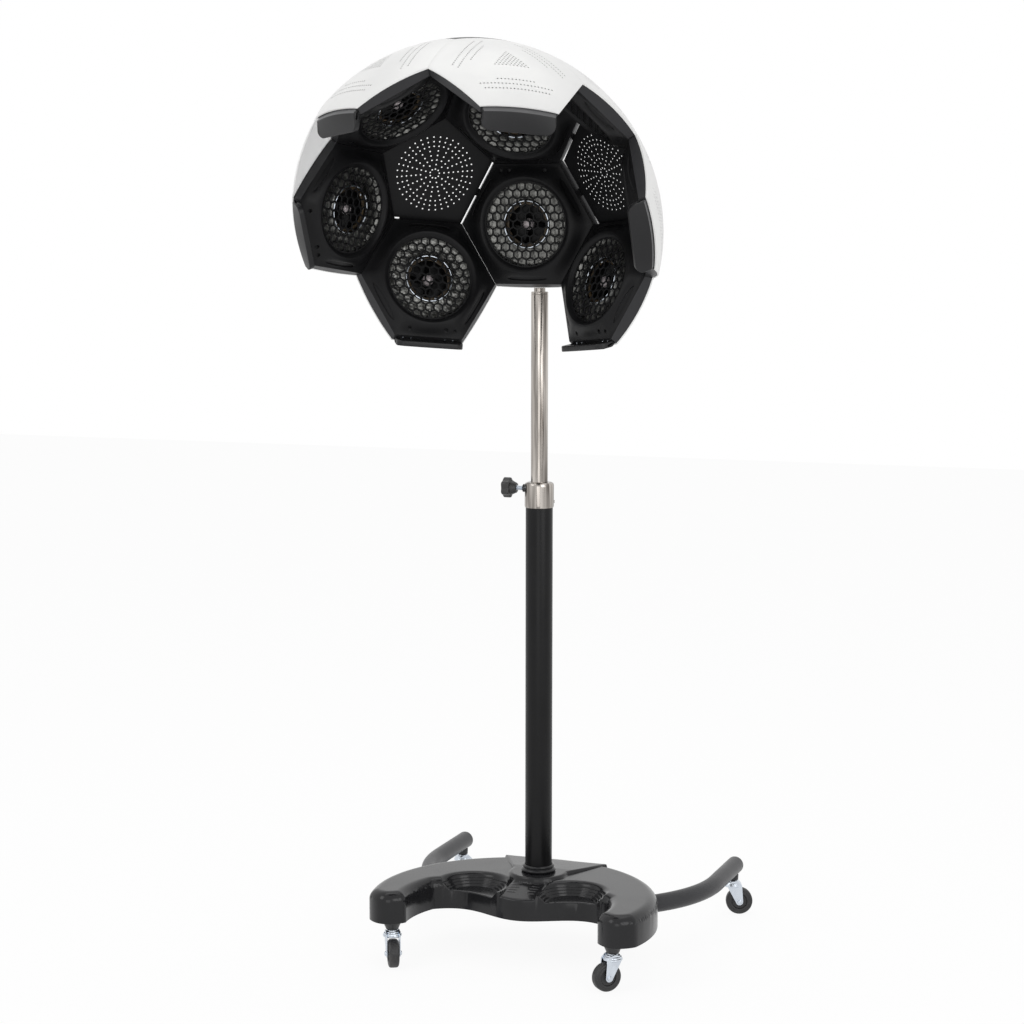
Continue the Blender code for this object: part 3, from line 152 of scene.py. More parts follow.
# Fan, its profiles from the fan's front
FAN_RADIUS = 0.0365
FAN_BLADES = 4
FAN_START = PANEL_PLANE + PANEL_THICKNESS + 0.006
FAN_LENGTH = 0.012
BLADE_MIDDLE = FAN_START + FAN_LENGTH / 2.0 + 0.001
FAN_HUB = ((0.0, FAN_LENGTH + 0.010), (0.002, FAN_LENGTH + 0.010), (0.002, FAN_LENGTH), (0.013, FAN_LENGTH),
           (0.013, 0.003), (0.0100, 0.0006), (0.0, 0.0006))
FAN_CAP = ((0.0, 0.004), (0.0095, 0.004), (0.0095, -0.0040), (0.0060, -0.0080), (0.0, -0.0088))
BLADE_STEPS = 8
BLADE_ROOT = 0.0105
BLADE_PITCH = 44.0
BLADE_TWIST = 20.0
BLADE_CHORD = 0.011
BLADE_SPREAD = 0.016
BLADE_CAMBER = 0.0016
BLADE_HALF_THICKNESS = 0.0007

# Grip along a free edge
GRIP_LENGTH = 0.1169
GRIP_TOP_RADIUS = 0.307
GRIP_RUN = 0.0075
GRIP_REACH = 0.0325
GRIP_SLOPE = 50.0
GRIP_THICKNESS = 0.010
GRIP_MIN_HEIGHT = 0.001
GRIP_CORNER = 0.014
GRIP_CORNER_TURNS = (52.0, 38.0, 24.0, 11.0, 0.0)
GRIP_ROUNDING = 0.0024
GRIP_EASE = 0.0016
GRIP_SLOT_WALL = 0.0030
GRIP_SLOT_DEPTH = 0.0070
# Faces of a grip's top strip that point up at least this much get a lighter grey: a painted highlight.
HIGHLIGHT_STRIP_NORMAL = 0.85
GRIP_SCREWS = (0.044, 0.030)
GRIP_SCREW_HEAD = ((0.0, -0.001), (0.0017, -0.001), (0.0017, 0.0008), (0.0, 0.0012))

# Places of the materials in a panel, in a reflector and in a fan
FLOOR_PART, GRIP_PART, WALL_PART, SCREW_PART, HIGHLIGHT_STRIP_PART = range(5)
FOIL_PART, BACK_PART, BRIGHT_PART, FORMER_PART = range(4)
BLADE_PART, CAP_PART = range(2)

# Vent plates and the plain panel
TOP_VENT_RADIUS = HOOD_RADIUS - 0.0004
SIDE_PANEL_BULGE = 0.45
VENT_THICKNESS = 0.001
VENT_BEVEL = 0.0002
VENT_SLIT = 0.0022
VENT_LAP = 0.0010
VENT_TAB_SHARE = 0.11
VENT_CORNER_SHARE = 0.8
VENT_HOLE_RADIUS = 0.0013
VENT_HOLE_STEPS = 10
VENT_RING_PITCH = 0.0082
VENT_RING_MARGIN = 0.006
VENT_RING_COUNTS = (9, 9, 18, 18, 18, 36, 36, 36)

# Base cover
ARM_OUTER_RADIUS = 0.253
ARM_OUTER_CENTRE_Y = -0.135
ARM_INNER_RADIUS = 0.178
ARM_INNER_CENTRE_Y = -0.175
ARM_END_Y = -0.198
ARM_END_BULGE = 0.022
ARM_END_STEPS = 24
ARM_OUTER_STEPS = 120
ARM_INNER_STEPS = 100
COVER_BOTTOM_Z = 0.080
BASE_WALL = 0.0024
PASSAGE_GAP = 0.0008
PASSAGE_MARGIN = 0.01
PASSAGE_STEPS = 48
ARM_TOP_Z = 0.135
ARM_CROWN = 0.018
RECESS_FLOOR_Z = 0.113
RECESS_CENTRE = (0.091, -0.090)
RECESS_RADIUS = 0.059
RECESS_CIRCLE_STEPS = 216
RECESS_LIP = 0.010
RECESS_STEPS = (0.0040, 0.0085, 0.0130)
RECESS_STEP = 0.0042
RECESS_FLOOR_LIP = 0.002
RECESS_LAP = 0.001
STEP_BLEND = 0.0009
APRON_FRONT_Y = -0.121
APRON_SIDE_Y = -0.084
APRON_HALF_WIDTH = 0.115
APRON_END_X = 0.168
APRON_END_Y = -0.107
APRON_STEPS = 90
APRON_END_GAP = 0.001
SPINE_FRONT_HALF_WIDTH = 0.038
SPINE_BACK_HALF_WIDTH = 0.031
SPINE_FRONT_Z = 0.118
SPINE_DROP = 0.001
SPINE_OVERRUN = 0.01
SPINE_LIP = 0.012
SPINE_ROUND = 0.004
SPINE_BLEND = 0.002
PLATE_TOP_Z = 0.140
PLATE_NOSE_RADIUS = 0.052
PLATE_REAR_HALF_WIDTH = 0.100
PLATE_REAR_Y = 0.098
PLATE_FALL = 0.05
PLATE_ROUND = 0.003
PLATE_BLEND = 0.0015
RIB_COUNT = 6
RIB_FRONT_Y = -0.092
RIB_PITCH = 0.0095
RIB_CENTRE_X = 0.0185
RIB_FADE = (0.0065, 0.0085)
RIB_HEIGHT = 0.0009
RIB_WIDTH = 0.0016

# Points that carry the base cover: an even grid, a finer one at the ribs, and rings along its edges
BASE_GRID = 0.0032
BASE_GRID_REACH = 0.40
BASE_GRID_MARGIN = BASE_GRID * 0.6
BASE_HALF_WIDTH = 0.26
BASE_FRONT_Y = -0.23
BASE_REAR_Y = 0.125
RIB_FIELD_HALF_WIDTH = 0.030
RIB_FIELD_FRONT_Y = -0.099
RIB_FIELD_REAR_Y = -0.037
RIB_GRID_X = (-0.025, 0.0255, 0.0016)
RIB_GRID_Y = (-0.098, -0.038, 0.0011)
RECESS_RINGS = (-0.0045, -0.0025, -0.0010, 0.0002, 0.0016, 0.0158, 0.0185)
RECESS_BAND = (-0.0205, 0.0055)
STEP_RINGS = (-0.0009, -0.0003, 0.0003, 0.0009)
EDGE_RINGS = (-0.0018, -0.0006, 0.0004, 0.0016)
EDGE_PITCH = 0.0018
EDGE_MARGIN = 0.0026
PLAN_RINGS = (0.0004, 0.0013)

# Column and clamp
COLUMN_RADIUS = 0.024
COLUMN_WALL = 0.002
COLUMN_BOTTOM_Z = 0.1186
FOOT_RING = ((0.0243, 0.0130), (0.0262, 0.0130), (0.0284, 0.0112), (0.0288, 0.0094), (0.0270, 0.0074),
             (0.0292, 0.0062), (0.0310, 0.0040), (0.0306, 0.0012), (0.0290, 0.0), (0.0243, 0.0))
INNER_TUBE_RADIUS = 0.015
INNER_TUBE_BORE = 0.0132
INNER_TUBE_BOTTOM_Z = 0.560
INNER_TUBE_TOP_Z = 1.172
TOP_BUSH = ((0.0138, 0.004), (0.0150, 0.0028), (0.0150, 0.0), (0.0129, 0.0), (0.0129, -0.030),
            (0.0105, -0.030), (0.0105, 0.004))
COLLAR_RADIUS = 0.026
COLLAR_BOTTOM_Z = 0.797
COLLAR_HEIGHT = 0.045
COLLAR_SEAT = 0.020
COLLAR_SOCKET = COLUMN_RADIUS + SEAT_GAP
COLLAR_BORE = INNER_TUBE_RADIUS + 0.0005
COLLAR = ((COLLAR_RADIUS - 0.0050, COLLAR_HEIGHT), (COLLAR_RADIUS - 0.0008, COLLAR_HEIGHT - 0.0022),
          (COLLAR_RADIUS, COLLAR_HEIGHT - 0.0060), (COLLAR_RADIUS, 0.0030), (COLLAR_RADIUS - 0.0008, 0.0),
          (COLLAR_SOCKET, 0.0), (COLLAR_SOCKET, COLLAR_SEAT), (COLLAR_BORE, COLLAR_SEAT),
          (COLLAR_BORE, COLLAR_HEIGHT))
GRUB_SCREW = ((0.0, 0.0012), (0.0026, 0.0010), (0.0030, 0.0003), (0.0030, -0.002), (0.0, -0.002))
GRUB_TURN = 25.0
GRUB_HEIGHT = 0.010

# Knob and stud; the hub and the disc start from the knob's inner face
KNOB_RADIUS = 0.018
KNOB_LOBES = 6
KNOB_LOBE_STEPS = 16
KNOB_LOBE_DEPTH = 0.0013
KNOB_FACE = 0.052
KNOB_DEPTH = 0.015
KNOB_BEVEL = 0.0026
KNOB_HUB = ((0.0, 0.002), (0.0130, 0.002), (0.0122, -0.002), (0.0086, -0.010), (0.0, -0.010))
KNOB_DISC = ((0.0, 0.0158), (0.0092, 0.0158), (0.0104, 0.0148), (0.0104, 0.012), (0.0, 0.012))
STUD_RADIUS = 0.0040
STUD_POINT = ((0.0, 0.0218), (0.0038, 0.0218), (STUD_RADIUS, 0.0225))
STUD_END = KNOB_FACE + 0.009
STUD_RING = ((0.0041, 0.0300), (0.0066, 0.0300), (0.0072, 0.0292), (0.0072, 0.0272), (0.0068, 0.0264),
             (0.0041, 0.0264))
STUD_STEPS = 24
THREAD_TURNS = 14
THREAD_START = 0.0300
THREAD_PITCH = 0.00125
THREAD_HALF_WIDTH = 0.0004
THREAD_ROOT = 0.0035

# Neck; the pin's head starts from the knuckle's cheek
NECK_RADIUS = 0.010
NECK_BOTTOM_Z = 1.075
NECK_TIP_RADIUS = NECK_RADIUS * 0.85
NECK_TAPER = 0.012
NECK_FOOT_RADIUS = 0.0127
NECK_FOOT_HEIGHT = 0.012
KNUCKLE = ((0.0, 0.011), (0.015, 0.011), (0.015, -0.011), (0.0, -0.011))
PIN_HEAD = ((0.0, 0.005), (0.0066, 0.005), (0.0075, 0.0040), (0.0075, 0.0), (0.0040, 0.0))
PIN_HALF_LENGTH = 0.0166

# Leg and castors
LEG_RADIUS = 0.016
LEG_WALL = 0.002
LEG_Z = 0.090
LEG_HALF_TRACK = 0.2735
LEG_BEND_RADIUS = 0.245
LEG_FRONT_Y = -0.042
LEG_END_Y = 0.341
LEG_END_RING = 0.001
PLUG_BASE = 0.0005
PLUG_CROWN = 0.0065
PLUG_SHANK = ((LEG_RADIUS - 0.0026, 0.0003), (LEG_RADIUS - 0.0026, -0.020), (0.0, -0.020))
REAR_CASTOR_Y = 0.327
FORK_TOP_Z = 0.065
FORK_SEAT_Z = FORK_TOP_Z + SEAT_GAP
STEM_TOP_Z = LEG_Z - LEG_RADIUS + 0.002
STEM_PIN_Z = FORK_TOP_Z - 0.007
LEG_STEM = ((0.0, STEM_TOP_Z), (0.0105, STEM_TOP_Z), (0.0100, FORK_SEAT_Z), (0.004, FORK_SEAT_Z),
            (0.004, STEM_PIN_Z), (0.0, STEM_PIN_Z))
CASTORS = ("front_left", "front_right", "rear_left", "rear_right")
CASTOR_BOSS = ((0.0, 0.0860), (0.0168, 0.0860), (0.0164, 0.0790), (0.0125, 0.0700), (0.0108, FORK_SEAT_Z),
               (0.0, FORK_SEAT_Z))
FORK_RACES = ((0.0, 0.0645), (0.0090, 0.0645), (0.0092, 0.0628), (0.0125, 0.0622), (0.0128, 0.0602),
              (0.0150, 0.0596), (0.0152, 0.0572), (0.0166, 0.0562), (0.0166, 0.0536), (0.0150, 0.0524),
              (0.0, 0.0524))
FORK_WALL = 0.0022
FORK_BACK = (-0.0120, 0.0560)
FORK_FRONT = (0.0165, 0.0560)
FORK_EYE = 0.0068
FORK_CROWN = (0.002, 0.0500)
FORK_CROWN_RADIUS = 0.0150
FORK_BEVEL = 0.0006
WHEEL_RADIUS = 0.025
WHEEL_HALF_WIDTH = 0.0095
FORK_GAP = WHEEL_HALF_WIDTH + 0.001
AXLE = (0.012, WHEEL_RADIUS)
AXLE_HEAD = ((0.0, 0.0026), (0.0030, 0.0026), (0.0042, 0.0012), (0.0042, -0.0004), (0.0028, -0.0004))
WHEEL_SIDE = ((0.0032, -0.0020), (0.0062, -0.0020), (0.0068, -0.0034), (0.0136, -0.0034), (0.0146, -0.0006),
              (0.0178, -0.0002), (0.0186, -0.0012))
TREAD_ROUND = 0.0046
TREAD_DROP = 0.0050
TREAD_RISE = 0.0044
TREAD_FLAT_SHARE = 0.30
TREAD_TURNS = (78.0, 55.0, 35.0, 15.0)

# Camera, and the soft boxes by name, place, target, size and power
CAMERA_PLACE = (1.4280, -3.9395, 1.2990)
CAMERA_FORWARD = (-0.3413, 0.9325, -0.1183)
CAMERA_ROLL = 0.04
CAMERA_LENS = 85.96
CAMERA_SENSOR = 36.0
CAMERA_FAR = 60.0
LAMPS = (
    ("key", (-2.6, -2.8, 3.2), (0.0, 0.0, 1.0), 2.2, 32.0),
    ("fill", (3.0, -2.2, 1.7), (-0.1, -0.1, 1.1), 2.0, 27.0),
    ("above", (0.0, 0.4, 3.6), (0.0, 0.0, 0.8), 2.4, 18.0),
    ("front", (0.8, -3.6, 0.9), (0.0, -0.1, 1.1), 1.6, 10.0),
)
WHITE = (1.0, 1.0, 1.0, 1.0)
WORLD_LIGHT = 0.66
FLOOR_WHITE = (0.97, 0.97, 0.97, 1.0)
FLOOR_ROUGHNESS = 0.8
FLOOR_GLOW = 0.92
FLOOR_SIZE = 9.0

IDENTITY = Matrix.Identity(4)
UP = Vector((0.0, 0.0, 1.0))


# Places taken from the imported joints


def joint(name):
    """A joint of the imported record, by name."""
    return next(item for item in frame["joints"] if item["name"] == name)


def axis_of(name):
    """A joint's axis as a unit vector."""
    return Vector(joint(name)["axis"]).normalized()


def place_of(name):
    """A joint's place."""
    return Vector(joint(name)["pos_m"])


HINGE = place_of("hood_tilt")
COLUMN = Matrix.Translation((HINGE.x, HINGE.y, 0.0))
TOP_MODULES = ("front_right", "front_left", "upper_right", "upper_left", "upper_back")
HOOD_TOP = sum((axis_of("fan_spin_" + name) for name in TOP_MODULES), Vector()).normalized()
HOOD_LEAN = math.atan2(-HOOD_TOP.y, HOOD_TOP.z)
HOOD = Matrix.Translation(place_of("fan_spin_back_centre")) @ Matrix.Rotation(HOOD_LEAN, 4, "X")


# Materials

NOISE_ROUGHNESS = 0.55
GRAIN_DETAIL = 2.0
GRAIN_HEIGHT = 0.0004
GLOW_REACH = 0.02


def node(tree, kind, output, values, links, **settings):
    """A new node with its settings, input values and links; gives one of its outputs."""
    made = tree.nodes.new(kind)
    for name, value in settings.items():
        setattr(made, name, value)
    for name, value in values.items():
        made.inputs[name].default_value = value
    for name, source in links.items():
        tree.links.new(source, made.inputs[name])
    return made.outputs[output]


def noise(tree, vector, scale, detail=3.0):
    """Value of a noise texture."""
    values = {"Scale": scale, "Detail": detail, "Roughness": NOISE_ROUGHNESS}
    return node(tree, "ShaderNodeTexNoise", "Fac", values, {"Vector": vector})


def ranged(tree, value, low, high, start=0.3, end=0.7):
    """A value mapped from start..end to low..high."""
    values = {"From Min": start, "From Max": end, "To Min": low, "To Max": high}
    return node(tree, "ShaderNodeMapRange", "Result", values, {"Value": value})


def mixed(tree, factor, first, second):
    """A colour between two, by a factor."""
    values = {"A": (*first, 1.0), "B": (*second, 1.0)}
    return node(tree, "ShaderNodeMix", "Result", values, {"Factor": factor}, data_type="RGBA")


def bumped(tree, height, strength, distance):
    """A bump normal from a height value."""
    values = {"Strength": strength, "Distance": distance}
    return node(tree, "ShaderNodeBump", "Normal", values, {"Height": height})


def new_material(name):
    """A material with its node tree and its shader's inputs."""
    made = bpy.data.materials.new(name)
    made.use_nodes = True
    return made, made.node_tree, made.node_tree.nodes["Principled BSDF"].inputs


def object_place(tree):
    """Texture coordinates in the object's own space."""
    return node(tree, "ShaderNodeTexCoord", "Object", {}, {})


def link_looks(tree, inputs, cloud, colours, roughness, normal, span=(0.3, 0.7)):
    """Link colour and roughness to a cloudy value, and the normal to a bump."""
    tree.links.new(mixed(tree, ranged(tree, cloud, 0.0, 1.0, *span), *colours), inputs["Base Color"])
    tree.links.new(ranged(tree, cloud, *roughness), inputs["Roughness"])
    tree.links.new(normal, inputs["Normal"])


def surface(name, colours, roughness, grain, bump, metallic=0.0, scale=(1.0, 1.0, 1.0), broad=14.0,
            gloss=0.5, glow=0.0):
    """A moulded, painted or plated surface: cloudy colour and gloss, a fine grain, and light let through."""
    made, tree, inputs = new_material(name)
    vector = node(tree, "ShaderNodeMapping", "Vector", {"Scale": scale}, {"Vector": object_place(tree)})
    cloud = noise(tree, vector, broad)
    speckle = noise(tree, vector, grain, GRAIN_DETAIL)
    link_looks(tree, inputs, cloud, colours, roughness, bumped(tree, speckle, bump, GRAIN_HEIGHT))
    for key, value in (("Metallic", metallic), ("Specular IOR Level", gloss), ("Subsurface Weight", glow),
                       ("Subsurface Radius", (1.0, 1.0, 1.0)), ("Subsurface Scale", GLOW_REACH)):
        inputs[key].default_value = value
    return made


def crinkled_metal():
    """Pressed foil reflector behind the grilles."""
    made, tree, inputs = new_material("reflector_foil")
    vector = object_place(tree)
    facets = node(tree, "ShaderNodeTexVoronoi", "Distance", {"Scale": 190.0}, {"Vector": vector})
    link_looks(tree, inputs, noise(tree, vector, 60.0), ((0.13, 0.13, 0.125), (0.28, 0.28, 0.265)),
               (0.28, 0.46), bumped(tree, facets, 0.55, 0.0012))
    inputs["Metallic"].default_value = 1.0
    return made


def worn_rubber():
    """Castor tread: matt black with pale dust in its clouds."""
    made, tree, inputs = new_material("wheel_black")
    vector = object_place(tree)
    speckle = noise(tree, vector, 900.0, GRAIN_DETAIL)
    link_looks(tree, inputs, noise(tree, vector, 45.0, 5.0), ((0.017, 0.017, 0.018), (0.060, 0.058, 0.055)),
               (0.42, 0.60), bumped(tree, speckle, 0.25, 0.0003), (0.5, 0.85))
    return made


GLOSS_BLACK = surface("gloss_black_moulding", ((0.010, 0.010, 0.011), (0.014, 0.014, 0.0155)), (0.14, 0.24),
                      700.0, 0.05, gloss=0.30)
SATIN_BLACK = surface("satin_black_paint", ((0.0045, 0.0045, 0.005), (0.007, 0.007, 0.0075)), (0.28, 0.38),
                      1100.0, 0.10, gloss=0.20)
LEG_PAINT = surface("leg_black_paint", ((0.022, 0.022, 0.025), (0.032, 0.032, 0.035)), (0.30, 0.42),
                    1100.0, 0.12, gloss=0.35)
PANEL_BLACK = surface("panel_black", ((0.007, 0.007, 0.0076), (0.011, 0.011, 0.0118)), (0.34, 0.46),
                      1500.0, 0.14, gloss=0.14)
PANEL_GREY = surface("panel_grey", ((0.024, 0.024, 0.026), (0.030, 0.030, 0.032)), (0.36, 0.48),
                     1500.0, 0.14, gloss=0.25)
GRIP_GREY = surface("grip_grey", ((0.010, 0.010, 0.011), (0.014, 0.014, 0.015)), (0.30, 0.40),
                    1300.0, 0.12, gloss=0.26)
# Lighter grey for the upward faces of the grips' top strip: a painted highlight from the lamps above.
GRIP_PAINTED_HIGHLIGHT = surface("grip_painted_highlight", ((0.085, 0.085, 0.088), (0.105, 0.105, 0.108)), (0.32, 0.42), 1300.0, 0.12)
FAN_BLACK = surface("fan_black", ((0.004, 0.004, 0.0045), (0.007, 0.007, 0.0075)), (0.26, 0.38),
                    900.0, 0.06, gloss=0.2)
COVER_WHITE = surface("cover_white", ((0.78, 0.78, 0.77), (0.74, 0.74, 0.735)), (0.34, 0.46), 1600.0, 0.05)
# Same white plastic as the covers, made lighter and letting light through so the blank panel, which faces
# into shade, shows as bright as them: painted light.
THIN_WHITE_PAINTED_LIGHT = surface("thin_white_painted_light", ((0.93, 0.93, 0.92), (0.90, 0.90, 0.89)), (0.34, 0.46), 1600.0, 0.05,
                     glow=1.0)
# The pale brownish tone is the plating's own; the dark vertical streaks, noise stretched along Z, are
# painted reflections of the studio.
CHROME_PAINTED_REFLECTIONS = surface("chrome", ((0.60, 0.56, 0.52), (0.060, 0.050, 0.042)), (0.08, 0.18), 260.0, 0.02,
                 metallic=1.0, scale=(9.0, 9.0, 0.4))
ZINC = surface("zinc_plate", ((0.66, 0.71, 0.77), (0.56, 0.60, 0.66)), (0.18, 0.34), 520.0, 0.06,
               metallic=1.0, broad=60.0)
CAST_IRON = surface("cast_iron", ((0.030, 0.030, 0.031), (0.045, 0.044, 0.043)), (0.50, 0.70), 420.0, 0.45)
KNOB_BLACK = surface("knob_black", ((0.018, 0.018, 0.019), (0.026, 0.026, 0.027)), (0.34, 0.46),
                     1200.0, 0.12)
NYLON = surface("nylon_grey", ((0.26, 0.26, 0.26), (0.33, 0.33, 0.32)), (0.45, 0.55), 900.0, 0.10)
BRASS = surface("brass", ((0.62, 0.47, 0.21), (0.52, 0.38, 0.16)), (0.22, 0.34), 500.0, 0.08, metallic=1.0)
HUB_CAP = surface("hub_cap", ((0.62, 0.56, 0.57), (0.40, 0.36, 0.37)), (0.22, 0.40), 600.0, 0.30,
                  metallic=0.3, broad=180.0)
MICA = surface("mica_brown", ((0.09, 0.060, 0.028), (0.030, 0.022, 0.014)), (0.40, 0.55), 700.0, 0.20,
               broad=90.0)
REFLECTOR = crinkled_metal()
RUBBER = worn_rubber()


# Points and loops


def polar(radius, angle, centre=(0.0, 0.0)):
    """The point at an angle round a centre."""
    return centre[0] + radius * math.cos(angle), centre[1] + radius * math.sin(angle)


def at_turn(turn, out, along):
    """The point out in a direction and along square to it."""
    return out * math.cos(turn) - along * math.sin(turn), out * math.sin(turn) + along * math.cos(turn)


def circle(radius, steps, centre=(0.0, 0.0), turn=0.0):
    """Points on a circle, the first at a turn."""
    return [polar(radius, turn + math.tau * step / steps, centre) for step in range(steps)]


def hexagon(corner):
    """Corners of a hexagon with two sides square to X."""
    return circle(corner, 6, turn=math.radians(30.0))


def arc(centre, radius, start, end, steps):
    """Points on an arc from start to end, in degrees."""
    return [polar(radius, math.radians(start + (end - start) * step / steps), centre)
            for step in range(steps + 1)]


def sides(loop):
    """The sides of a closed loop, as pairs of points."""
    return zip(loop, loop[1:] + loop[:1])


def between(start, end, share):
    """The point at a share of the way between two points."""
    return start[0] + (end[0] - start[0]) * share, start[1] + (end[1] - start[1]) * share


def divided(loop, parts=1, pitch=0.0):
    """A loop with each side cut into equal parts, as many as are given or as a pitch asks for."""
    points = []
    for (x0, y0), (x1, y1) in sides(loop):
        count = max(1, round(math.dist((x0, y0), (x1, y1)) / pitch)) if pitch else parts
        points += [(x0 + (x1 - x0) * step / count, y0 + (y1 - y0) * step / count) for step in range(count)]
    return points


def drawn_in(loop, share):
    """A loop made smaller about its middle by a share, or larger by a negative one."""
    middle = (sum(x for x, _ in loop) / len(loop), sum(y for _, y in loop) / len(loop))
    return [between(point, middle, share) for point in loop]


def grid_inside(reach, pitch, keep):
    """Points of a triangular grid for which keep is true."""
    points = []
    rows = int(reach / (pitch * GRID_ROW_SHARE)) + 1
    for row in range(-rows, rows + 1):
        for column in range(-rows, rows + 1):
            x = pitch * (column + row / 2.0)
            y = pitch * row * GRID_ROW_SHARE
            if keep(x, y):
                points.append((x, y))
    return points


def side_of(start, end, point):
    """How far a point lies to the left of a line, times the line's length."""
    return (end[0] - start[0]) * (point[1] - start[1]) - (end[1] - start[1]) * (point[0] - start[0])


def edge_depth(corners, x, y):
    """Distance of a point in a convex anticlockwise outline to the nearest side."""
    return min(side_of(start, end, (x, y)) / math.dist(start, end) for start, end in sides(corners))


def clipped(loop, clip):
    """The part of a convex loop inside another convex loop, both anticlockwise."""
    for start, end in sides(clip):
        kept = []
        depths = [side_of(start, end, point) for point in loop]
        for step, point in enumerate(loop):
            following = (step + 1) % len(loop)
            if depths[step] >= 0.0:
                kept.append(point)
            if (depths[step] >= 0.0) != (depths[following] >= 0.0):
                share = depths[step] / (depths[step] - depths[following])
                kept.append(between(point, loop[following], share))
        loop = kept
        if len(loop) < 3:
            return []
    return loop


def area(loop):
    """Area of a closed loop."""
    return abs(sum(x0 * y1 - x1 * y0 for (x0, y0), (x1, y1) in sides(loop))) / 2.0


def loops_inside(points, loop):
    """Which points lie inside a closed loop."""
    inside = np.zeros(len(points), bool)
    for (x0, y0), (x1, y1) in sides(loop):
        if y0 == y1:
            continue
        spans = (y0 > points[:, 1]) != (y1 > points[:, 1])
        inside ^= spans & (points[:, 0] < (x1 - x0) * (points[:, 1] - y0) / (y1 - y0) + x0)
    return inside


def fillet(profile, radius, steps=4, closed=False):
    """Round the corners of a profile; an open one keeps its two ends."""
    if closed:
        looped = [profile[-1]] + list(profile) + [profile[0]]
        return fillet(looped, radius, steps)[1:-1]
    rounded = [tuple(profile[0])]
    for before, corner, after in zip(profile, profile[1:], profile[2:]):
        middle = Vector(corner)
        back, ahead = Vector(before) - middle, Vector(after) - middle
        reach = min(radius, back.length * FILLET_LIMIT, ahead.length * FILLET_LIMIT)
        start = middle + back.normalized() * reach
        end = middle + ahead.normalized() * reach
        for step in range(steps + 1):
            share = step / steps
            rounded.append(tuple(start.lerp(middle, share).lerp(middle.lerp(end, share), share)))
    rounded.append(tuple(profile[-1]))
    return rounded


def raised(profile, height):
    """A profile at a height."""
    return [(radius, level + height) for radius, level in profile]


def both_ways(profile):
    """A profile and its mirror image below."""
    return list(profile) + [(radius, -height) for radius, height in reversed(profile)]


# Mesh helpers


def face_outward(bm):
    """Turn every face outward."""
    bmesh.ops.recalc_face_normals(bm, faces=bm.faces[:])


def skin(bm, rings, closed):
    """Faces between rings of points, where a ring of one point is a tip."""
    steps = max(len(ring) for ring in rings)
    pairs = list(zip(rings, rings[1:]))
    if closed:
        pairs.append((rings[-1], rings[0]))
    for upper, lower in pairs:
        for step in range(steps):
            following = (step + 1) % steps
            corners = (upper[step % len(upper)], upper[following % len(upper)],
                       lower[following % len(lower)], lower[step % len(lower)])
            corners = tuple(dict.fromkeys(corners))
            if len(corners) > 2:
                bm.faces.new(corners)
    face_outward(bm)


def capped(bm, rings):
    """Faces between rings of points and over both ends."""
    skin(bm, rings, False)
    for ring in (rings[0], rings[-1]):
        bm.faces.new(ring)
    face_outward(bm)


def lathe(profile, steps, closed=False):
    """A profile turned about Z; an open one starts and ends on the axis."""
    bm = bmesh.new()
    rings = []
    for radius, height in profile:
        if radius < 1e-6:
            rings.append([bm.verts.new((0.0, 0.0, height))])
        else:
            rings.append([bm.verts.new((x, y, height)) for x, y in circle(radius, steps)])
    skin(bm, rings, closed)
    return bm


def turned(profile, rounding, corner_steps=4, steps=SMALL_STEPS, closed=False):
    """A profile turned about Z with its corners rounded."""
    return lathe(fillet(profile, rounding, corner_steps, closed), steps, closed)


def tube(outer, inner, bottom, top):
    """A plain tube with rounded rims."""
    profile = [(outer, top), (outer, bottom), (inner, bottom), (inner, top)]
    return turned(profile, TUBE_ROUNDING, 3, ROUND_STEPS, True)


def flat_faces(loops, extra):
    """Triangles inside the first loop and outside the others, with extra points in them."""
    points, edges = [], []
    for loop in loops:
        start = len(points)
        points += [Vector(point) for point in loop]
        edges += [(start + step, start + (step + 1) % len(loop)) for step in range(len(loop))]
    points += [Vector(point) for point in extra]
    corners, _, faces, _, _, _ = delaunay_2d_cdt(points, edges, [], 1, 1e-7)
    flat = np.array([corner[:] for corner in corners])
    middles = flat[np.array(faces)].mean(axis=1)
    layers = sum(loops_inside(middles, loop).astype(int) for loop in loops)
    return flat, [face for face, layer in zip(faces, layers) if layer == 1]


def sheet(points, faces):
    """An open mesh out of points and faces."""
    bm = bmesh.new()
    verts = [bm.verts.new(point) for point in points]
    for face in faces:
        bm.faces.new([verts[corner] for corner in face])
    return bm


def drop_loose(bm):
    """Remove the points that no face uses."""
    loose = [vert for vert in bm.verts if not vert.link_faces]
    bmesh.ops.delete(bm, geom=loose, context="VERTS")


def plate(loops, low, high, extra=(), bevel=0.0, segments=1):
    """A flat plate with holes, from low to high, its rims eased by the bevel."""
    corners, faces = flat_faces(loops, extra)
    bm = sheet([(x, y, low) for x, y in corners], faces)
    drawn = bmesh.ops.extrude_face_region(bm, geom=bm.faces[:])
    top = [item for item in drawn["geom"] if isinstance(item, bmesh.types.BMVert)]
    bmesh.ops.translate(bm, verts=top, vec=(0.0, 0.0, high - low))
    drop_loose(bm)
    face_outward(bm)
    if bevel > 0.0:
        rims = [edge for edge in bm.edges if edge.calc_face_angle(0.0) > 1.0
                and abs(edge.verts[0].co.z - edge.verts[1].co.z) < 1e-6]
        bmesh.ops.bevel(bm, geom=rims, offset=bevel, segments=segments, profile=0.5, affect="EDGES")
    return bm


def join(forms):
    """One bmesh out of (bmesh, matrix, material place); without a place the faces keep their own."""
    whole = bmesh.new()
    for bm, matrix, index in forms:
        bm.transform(matrix)
        if index is not None:
            for face in bm.faces:
                face.material_index = index
        mesh = bpy.data.meshes.new("joined")
        bm.to_mesh(mesh)
        bm.free()
        whole.from_mesh(mesh)
        bpy.data.meshes.remove(mesh)
    return whole


def finished(bm, name, materials, sharp=35.0):
    """A smooth-shaded mesh with its materials."""
    mesh = bpy.data.meshes.new(name)
    bm.to_mesh(mesh)
    bm.free()
    for item in materials:
        mesh.materials.append(item)
    mesh.shade_smooth()
    mesh.set_sharp_from_angle(angle=math.radians(sharp))
    return mesh


